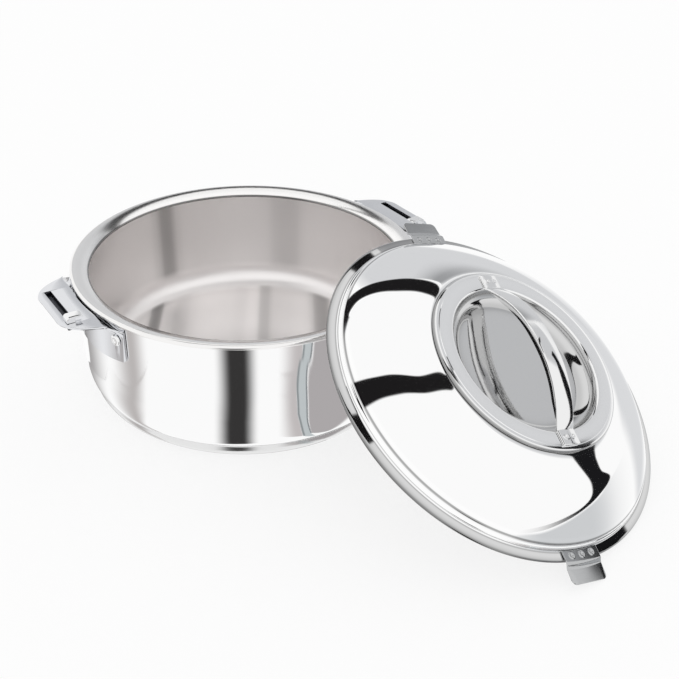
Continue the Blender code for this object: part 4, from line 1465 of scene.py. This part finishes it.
CARDS = (
    StudioCard("flag_overhead", "1d1c1d", (
        (-172, 60, -141, 58), (-168.7, 69.3, -131.4, 68.5), (-158.7, 79.9, -99, 76.3),
        (-1.6, 76.6, -27.2, 72.6), (25.1, 46.3, 13.6, 53.1), (31.5, 34.5, 28, 37),
    ), soft_sides=(0.06, 0.1)),
    StudioCard("flag_far_side", "1d1c1d", (
        (38, 36.5, 38, 37.3), (46, 38.7, 46, 42.5), (56, 40, 56, 46.5), (71, 40.3, 71, 49),
        (84, 39.2, 84, 49.3), (98, 38.3, 98, 47), (108, 40.8, 108, 46.8), (117, 46.3, 117, 50),
        (123.3, 51.3, 123.3, 53.3), (135, 56, 135, 57.4),
    ), soft_sides=(0.06, 0.12), soft_ends=(0.05, 0.1)),
    StudioCard("edge_far_side", "8c8c8e", (
        (121, 49.5, 121, 53), (135, 55.6, 135, 58), (150, 59.5, 150, 61.8), (180, 61, 180, 62.8),
    ), soft_sides=(0.3, 0.3)),
    StudioCard("flag_right", "1a1a1c", (
        (21, 31, 25.5, 28.5), (16.9, 27.8, 23.9, 26.3), (9, 24.6, 15.5, 20.6), (3, 20, 9.2, 14.5),
        (-0.9, 14.1, 5.2, 6.6), (-4.2, 5.3, 6.6, -1.7), (-7.3, 0.5, -2.6, -2.6),
        (-13.7, -0.4, -14, -1.9), (-23.6, 1, -25, -0.5), (-34, 3.1, -36, 1.6), (-47, 6.6, -48, 5.6),
    ), soft_sides=(0.08, 0.05), soft_ends=(0.02, 0.3)),
    StudioCard("card_ring", "d3d4d6", (
        (10, 20, 10, 42), (22, 22, 22, 42), (34, 25, 34, 41), (46, 29, 46, 38),
    ), soft_sides=(0.15, 0.2), soft_ends=(0.2, 0.25)),
    StudioCard("card_far_shade", "9c9d9f", (
        (44, 18, 44, 37.5), (52, 18, 52, 38.7), (60, 18, 60, 39.5), (78, 18, 78, 39.5),
    ), soft_sides=(0.95, 0.0), soft_ends=(0.3, 0.4)),
    StudioCard("card_far_side", "d6d7d9", (
        (44, -2, 44, 38), (60, -2, 60, 39.5), (104, -2, 104, 39),
    ), soft_sides=(0.1, 0.02), soft_ends=(0.15, 0.1)),
    StudioCard("card_right_low", "ced0d2", (
        (-60, -30, -60, 8), (-48, -30, -48, 5.6), (-36, -30, -36, 1.2), (-25, -30, -25, -0.8),
        (-14, -30, -14, -2), (-3, -30, -3, -3), (7, -30, 7, -2), (22, -30, 22, -4),
    ), soft_sides=(0.1, 0.02), soft_ends=(0.3, 0.4)),
    StudioCard("card_right_far", "dcdddf", (
        (22, -30, 22, 6), (32, -30, 32, 22), (46, -30, 46, 26), (70, -30, 70, 0),
    ), soft_sides=(0.1, 0.3), soft_ends=(0.3, 0.3)),
    StudioCard("flag_front", "363535", (
        (-110, -20, -79.4, -20), (-110.7, -33.1, -79.6, -33.2), (-112.8, -36.5, -80.4, -36.6),
        (-114.2, -41.4, -80.3, -41.2), (-115.6, -45.7, -80.1, -45.5), (-118.3, -52, -79.7, -51.9),
        (-123.7, -60.5, -78.7, -59.5), (-145.3, -73.3, -76.3, -69.5),
    ), soft_sides=(0.38, 0.36)),
    StudioCard("card_left", "bcb8b7", (
        (165, -20, -156, -20), (164.2, -31.5, -156.7, -31.7), (161.1, -32.5, -158.2, -32.8),
        (157.3, -33.7, -160, -34), (150, -38, -161.8, -35.2), (140, -44, -168.5, -42.3),
        (130, -50, 172.7, -52.6), (118, -58, 160, -60),
    ), soft_sides=(0.6, 0.4)),
    StudioCard("card_left_edge", "a8a6a6", (
        (126, -20, 165, -20), (128.7, -31.3, 164.2, -31.5), (118, -32.8, 161.1, -32.5),
        (108, -34, 157.3, -33.7), (98, -38, 150, -38), (88, -44, 140, -44), (78, -50, 130, -50),
        (66, -58, 118, -58),
    ), soft_sides=(0.0, 1.0)),
    # Painted reflections: these cards stand for the lid's rim and the shaded floor under the lid,
    # mirrored in the wall.
    StudioCard("lid_edge_line", "8a8f91", (
        (-49, -28, -47.4, -28), (-51.1, -32.4, -49.3, -32.4), (-53.5, -33.1, -51.7, -33.1),
        (-55, -34.2, -53, -34.2), (-55.1, -35.2, -53.2, -35.2), (-54.4, -36.2, -52.4, -36.2),
        (-49.6, -44.7, -47, -45.2), (-33, -62.1, -29, -62.5),
    ), soft_sides=(0.3, 0.4)),
    StudioCard("lid_edge_fold", "7d8184", (
        (-43, -28, -41.8, -28), (-45.4, -32.4, -43.8, -32.4), (-48.1, -33.4, -46.5, -33.4),
        (-48.6, -34.5, -47.1, -34.5), (-48, -35.9, -46.4, -35.9), (-44.8, -43.2, -43, -43.4),
        (-30, -58.2, -28, -58.2),
    ), soft_sides=(0.3, 0.4)),
    StudioCard("lid_edge", "bfc5c7", (
        (-49, -28, -42, -28), (-51.1, -32.4, -44.2, -32.4), (-53.5, -33.1, -46.9, -33.4),
        (-55, -34.2, -47.5, -34.5), (-55.1, -35.2, -46.8, -35.9), (-54.4, -36.2, -43.9, -43),
        (-49.6, -44.7, -28.8, -58.2), (-33, -62.1, 30, -69),
    )),
    StudioCard("under_lid", "aeaaab", (
        (-42, -28, 5, -26), (-44.2, -32.4, 5, -31), (-46.9, -33.4, 5, -33), (-47.5, -34.5, 5, -36),
        (-46.8, -35.9, 5, -40), (-43.4, -43.2, 5, -52), (-28.8, -58.2, 20, -64),
    ), soft_sides=(0.02, 0.2)),
    StudioCard("card_front_right", "c3bebe", (
        (-68.4, -20, -49, -20), (-68.4, -32.6, -51.1, -32.4), (-68.5, -33.8, -54, -33.6),
        (-68.7, -35.1, -55.1, -35.2), (-68.8, -36.3, -54.4, -36.2), (-67.5, -46.1, -49.6, -44.7),
        (-65, -54, -33, -62.1),
    ), soft_sides=(0.85, 0.0)),
)


@dataclass
class Studio:
    """The floor, the world and the cards around the casserole."""

    card_distance: float = 20.0
    card_gap: float = 0.1
    card_columns: int = 30
    card_steps: int = 10
    floor_size: float = 6.0
    floor_glow: float = 0.8

    def build(self) -> None:
        """Builds the floor, the world and the cards, of which the first hides the others."""
        self.world()
        self.floor()
        for i, card in enumerate(CARDS):
            self.card(card, self.card_distance + i * self.card_gap)

    def world(self) -> None:
        """A white world: plain soft light, and plain white to the camera and to metal."""
        world = bpy.data.worlds.new("Studio")
        bpy.context.scene.world = world
        world.use_nodes = True
        background = world.node_tree.nodes["Background"]
        background.inputs["Color"].default_value = linear("ffffff")
        background.inputs["Strength"].default_value = 1.0

    def floor(self) -> None:
        """The pale floor, clear to polished metal, which shows the cards below it instead."""
        half = self.floor_size / 2
        corners = ((-half, -half), (half, -half), (half, half), (-half, half))
        data = bmesh.new()
        data.faces.new([data.verts.new((x, y, 0.0)) for x, y in corners])
        floor = new_object("floor", finish_mesh(data, "floor"))
        material, tree, surface = bare_material("White studio floor")
        matt = result(tree, "ShaderNodeBsdfDiffuse", {"Color": linear("f6f6f6")})
        soft = blend(tree, self.floor_glow, matt, glow(tree, "ffffff"))
        mirrored = add_node(tree, "ShaderNodeLightPath").outputs["Is Glossy Ray"]
        clear = result(tree, "ShaderNodeBsdfTransparent")
        tree.links.new(blend(tree, mirrored, soft, clear), surface)
        dress(floor, material)

    def direction(self, azimuth: float, elevation: float) -> Vector:
        """The unit vector of a direction given as on a card's rows."""
        turn, rise = math.radians(azimuth + PHOTO_HEADING), math.radians(elevation)
        level = math.cos(rise)
        return Vector((level * math.cos(turn), level * math.sin(turn), math.sin(rise)))

    def card(self, card: StudioCard, distance: float) -> None:
        """Hangs one card, its edges as soft as it says.

        Args:
            card: The card.
            distance: How far away it hangs; a nearer card hides a farther one.
        """
        rows = [(*self.direction(*row[:2]), *self.direction(*row[2:])) for row in card.rows]
        rows = smooth_between(rows, self.card_steps)
        points, covers = [], []
        for i, row in enumerate(rows):
            first, second = Vector(row[:3]), Vector(row[3:])
            end = fade(i / (len(rows) - 1), card.soft_ends)
            for k in range(self.card_columns + 1):
                share = k / self.card_columns
                points.append(first.lerp(second, share).normalized() * distance)
                covers.append(end * fade(share, card.soft_sides))
        deep = self.card_columns + 1
        faces = []
        for i in range(len(rows) - 1):
            for corner in range(i * deep, i * deep + self.card_columns):
                faces.append((corner, corner + 1, corner + deep + 1, corner + deep))
        mesh = bpy.data.meshes.new(card.name)
        mesh.from_pydata(points, [], faces)
        mesh.attributes.new("cover", "FLOAT", "POINT").data.foreach_set("value", covers)
        hung = new_object(card.name, mesh)
        material, tree, surface = bare_material("Studio " + card.name)
        cover = add_node(tree, "ShaderNodeAttribute", attribute_name="cover").outputs["Fac"]
        clear = result(tree, "ShaderNodeBsdfTransparent")
        tree.links.new(blend(tree, cover, clear, glow(tree, card.shade)), surface)
        dress(hung, material)
        for ray in ("camera", "diffuse", "shadow", "transmission", "volume_scatter"):
            setattr(hung, "visible_" + ray, False)


@dataclass(frozen=True)
class PhotoCamera:
    """The camera at the photograph's viewing angle."""

    place: Point3 = (-0.27934, -0.51188, 0.38659)
    pitch: float = math.radians(35.42)
    lens: float = 49.395
    shift_x: float = 0.0761
    shift_y: float = 0.0831

    def build(self) -> None:
        """Makes the camera the scene's own."""
        data = bpy.data.cameras.new("Camera")
        data.lens = self.lens
        data.shift_x = self.shift_x
        data.shift_y = self.shift_y
        camera = new_object("Camera", data)
        camera.location = self.place
        camera.rotation_euler = (math.pi / 2 - self.pitch, 0.0, math.radians(PHOTO_HEADING))
        bpy.context.scene.camera = camera


def dress_cad_nodes() -> None:
    """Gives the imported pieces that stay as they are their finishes."""
    foam = Foam("Insulating foam", "e8d9a8").material()
    # Painted shade: the channels under the slots are coloured dark so that the slots look shaded.
    channel = Steel("Channel steel with painted slot shade", "3d3e43", 0.35, Lay.ALONG).material()
    for finish, names in (
        (foam, ("body_insulation", "lid_insulation")),
        (channel, ("latch_channel_right", "latch_channel_left")),
    ):
        for name in names:
            dress(frame["nodes"][name], finish)


def main() -> None:
    """Builds the casserole and its studio, and reports each piece."""
    logging.basicConfig(level=logging.INFO, format="%(name)s: %(message)s")
    bpy.context.scene.view_settings.view_transform = "Standard"
    PhotoCamera().build()
    spin, copies = SpinTree(), CopyTree()
    pot = Pot(spin)
    pot.build()
    handle = Handle(pot)
    handle.build()
    Rivets(handle, spin, copies).build()
    Latch(handle).build()
    tabs = Tabs()
    lid = Lid(spin, pot)
    lean = lid.place(tabs)
    lid.build(lean)
    Strap(lid).build(lean)
    tabs.build(lid, lean)
    dress_cad_nodes()
    Studio().build()


if __name__ == "__main__":
    main()
